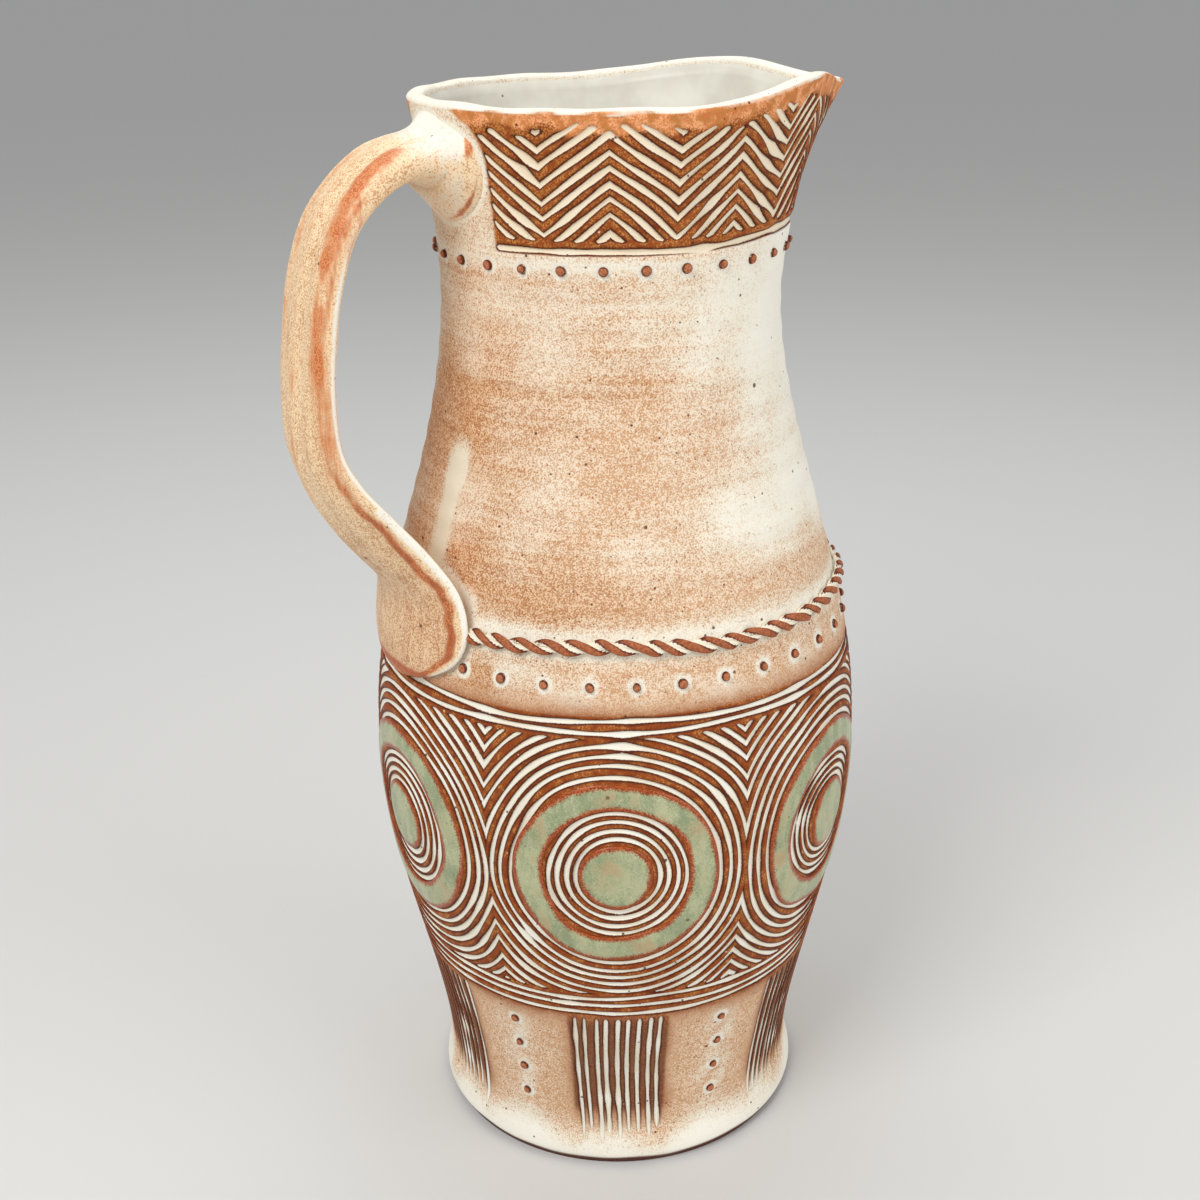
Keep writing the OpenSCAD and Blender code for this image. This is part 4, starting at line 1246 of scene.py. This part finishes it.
def make_camera():
    """The photograph's view: place, pitch, roll and shift."""
    distance, height = 0.406, 0.3135
    heading, pitch, roll = math.radians(60.0), math.radians(22.1), math.radians(0.5745)
    ahead = Vector((math.cos(heading), math.sin(heading), 0.0))
    forward = ahead * math.cos(pitch) - Vector((0.0, 0.0, math.sin(pitch)))
    right = Vector((math.sin(heading), -math.cos(heading), 0.0))
    up = right.cross(forward)
    turned_right = math.cos(roll) * right - math.sin(roll) * up
    turned_up = math.sin(roll) * right + math.cos(roll) * up
    axes = Matrix((turned_right, turned_up, -forward)).transposed().to_4x4()
    data = bpy.data.cameras.new("photo_view")
    camera = show("photo_view", data)
    camera.matrix_world = Matrix.Translation(Vector((0.0, 0.0, height)) - ahead * distance) @ axes
    data.sensor_width = 36.0
    data.lens = 48.12
    data.shift_x = -0.0116
    data.clip_start = 0.01
    bpy.context.scene.camera = camera


def make_stage():
    """A wide pale floor, an even sky and three soft lamps."""
    bpy.ops.mesh.primitive_plane_add(size=30.0, location=(0, 0, 0))
    floor = bpy.context.object
    floor.name = "floor"
    look = Look("floor_paper", 0.8)
    look.shader["Base Color"].default_value = PAPER
    floor.data.materials.append(look.material)
    world = bpy.data.worlds.new("studio")
    bpy.context.scene.world = world
    world.use_nodes = True
    sky = world.node_tree.nodes["Background"].inputs
    sky["Color"].default_value = SKY
    sky["Strength"].default_value = 0.54
    target = Vector((0, 0, 0.15))
    for name, place, size, power in (
            ("key", (-0.75, -0.35, 0.95), 0.55, 7.6),
            ("fill", (0.55, -0.95, 0.55), 0.9, 5.0),
            ("top", (0.15, 0.35, 1.1), 0.8, 3.6)):
        lamp = bpy.data.lights.new(name, "AREA")
        lamp.size = size
        lamp.energy = power
        shown = show(name, lamp)
        shown.location = place
        shown.rotation_mode = "QUATERNION"
        shown.rotation_quaternion = (target - Vector(place)).to_track_quat("-Z", "Y")


make_camera()
make_stage()
make_body(stoneware_finish())
make_liner(liner_finish())
make_handle(handle_finish())
rolled = iron_finish("rolled_clay", ROPE_LIGHT, ROPE_DARK_AND_SHADE)
make_rope("rope_roll_a", 0, rolled, "rope_strand_a")
make_rope("rope_roll_b", 180, rolled, "rope_strand_b")
pellet = iron_finish("pellet_clay", NIB_TOP, ROPE_DARK_AND_SHADE)
make_nibs("nibs_neck", NECK_NIBS, 400, pellet, "neck_nibs")
make_nibs("nibs_belt", BELT_NIBS, 500, pellet, "belt_nibs")
make_nibs("nibs_foot", FOOT_NIBS, 600, pellet, "foot_nibs")
green = green_finish()
make_fields("glaze_rings", FIELD_R - FIELD_W, FIELD_R, 200, green, "green_rings")
make_fields("glaze_centres", 0, CENTRE_R, 300, green, "green_centres")
bpy.context.scene.view_settings.view_transform = "Standard"
